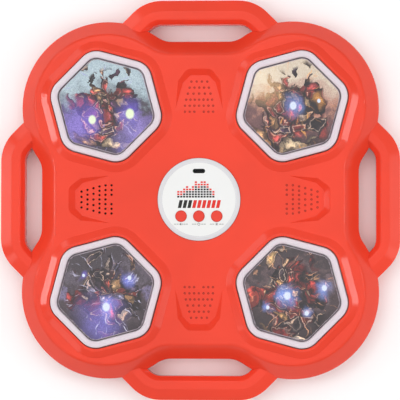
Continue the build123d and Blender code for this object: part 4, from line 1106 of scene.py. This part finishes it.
# %% One foot, and its four copies
foot_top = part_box("rubber_feet")[1].z
foot_radius = 0.008
groove_depth = 0.0004
groove_pitch = 0.0017
first_land = 0.0019         # the radius where the first ring that touches the ground starts
foot_profile = [(0, groove_depth), (0.0016, groove_depth), (first_land, 0.0)]
for groove in range(3):
    land = first_land + groove * groove_pitch
    foot_profile += [(land + 0.0009, 0.0), (land + 0.0011, groove_depth), (land + 0.0015, groove_depth)]
    foot_profile += [(land + groove_pitch, 0.0)]
foot_profile += [(foot_radius - 0.0005, 0.0), (foot_radius - 0.00015, 0.00015), (foot_radius, 0.0005)]
foot_profile += [(foot_radius, foot_top), (0, foot_top)]
foot_mesh = turned("rubber_foot", foot_profile, 64)
set_copies("feet_rubber", "rubber_feet", foot_mesh, "rubber_black", 0.02, 5)

# %% [markdown]
# ## Return springs
# Each pad floats on four coil springs that push it back up. A spring is wound from round wire on a mandrel and
# its end coils are closed, so that it stands square on its post. The tree bends a line into that coil: it
# climbs slowly at both ends and fast between them.

# %% The tree for a coil
coil_tree, given, end = new_tree("coil_spring", {
    "Turns": "Float", "Radius": "Float", "Height": "Float", "Wire": "Float", "Start": "Float", "Steps": "Int",
})
coil = functools.partial(add, coil_tree)
coil_sum = functools.partial(sums, coil_tree)
line = coil("GeometryNodeMeshLine", Start_Location=(0, 0, 0), Offset=(0, 0, 0), Count=given["Steps"])
index = coil("GeometryNodeInputIndex").outputs[0]
along = coil_sum("DIVIDE", index, coil_sum("SUBTRACT", given["Steps"], 1.0))
angle = coil_sum("MULTIPLY", coil_sum("MULTIPLY", along, given["Turns"]), math.tau)
coil_x = coil_sum("MULTIPLY", coil_sum("COSINE", angle), given["Radius"])
coil_y = coil_sum("MULTIPLY", coil_sum("SINE", angle), given["Radius"])
# closed coils lie a little more than a wire apart, and the rest of the height is climbed between them
closed_rise = coil_sum("MULTIPLY", coil_sum("MULTIPLY", given["Wire"], 1.06), given["Turns"])
open_rise = coil_sum("SUBTRACT", given["Height"], closed_rise)
smoothly = {"interpolation_type": "SMOOTHSTEP"}
eased = coil("ShaderNodeMapRange", smoothly, Value=along, From_Min=0.13, From_Max=0.87).outputs[0]
climb = coil_sum("MULTIPLY_ADD", eased, open_rise, coil_sum("MULTIPLY", along, closed_rise))
coil_z = coil_sum("ADD", climb, given["Start"])
coil_place = coil("ShaderNodeCombineXYZ", X=coil_x, Y=coil_y, Z=coil_z)
bent = coil("GeometryNodeSetPosition", Geometry=line.outputs[0], Position=coil_place.outputs[0])
as_curve = coil("GeometryNodeMeshToCurve", Mesh=bent.outputs[0]).outputs[0]
half_wire = coil_sum("DIVIDE", given["Wire"], 2.0)
section = coil("GeometryNodeCurvePrimitiveCircle", Radius=half_wire, Resolution=10).outputs[0]
wire = coil("GeometryNodeCurveToMesh", Curve=as_curve, Profile_Curve=section, Fill_Caps=True)
coil_tree.links.new(wire.outputs[0], end)
print("coil tree:", len(coil_tree.nodes), "nodes")

# %% One spring
low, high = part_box("springs_top_left")
spring_wire = 0.0010
coil_radius = 0.0042
spring_room = high.z - low.z
coil_mesh = grown("coil", coil_tree, bpy.data.meshes.new("coil_seed"), {
    "Turns": 6.4, "Radius": coil_radius, "Height": spring_room - spring_wire, "Wire": spring_wire,
    "Start": low.z + spring_wire / 2, "Steps": 240,
})
coil_mesh.shade_smooth()
print("one spring:", len(coil_mesh.polygons), "faces,", round(spring_room * 1000, 1), "mm tall")

# %% Springs under the pads
for corner in corner_names:
    low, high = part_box(f"springs_{corner}")
    springs = set_copies(f"coils_{corner}", f"springs_{corner}", coil_mesh.copy(), "spring_steel", 0.012, 7)
    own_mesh(springs)

# %% [markdown]
# ## The floor
# The case lies on a plain pale floor, so that light comes back up through the hand gaps and picks up the red
# of their walls. The floor isn't part of the machine.

# %% Pale floor
floor_half = 3.0
floor_mesh = bpy.data.meshes.new("floor")
floor_corners = [(x * floor_half, y * floor_half, 0) for x, y in ((-1, -1), (1, -1), (1, 1), (-1, 1))]
floor_mesh.from_pydata(floor_corners, [], [(0, 1, 2, 3)])
floor_finish, tree, shader, place = new_finish("floor_paint")
mottle = noise(tree, place, 3.0)
paint = blend_colours(tree, mottle, (0.955, 0.955, 0.955, 1), (0.975, 0.975, 0.975, 1))
connect(tree, shader, Base_Color=paint, Roughness=0.9, Specular_IOR_Level=0.0)
floor_mesh.materials.append(floor_finish)
floor = set_in_scene("floor", floor_mesh)
print("floor", floor_half * 2, "m across")
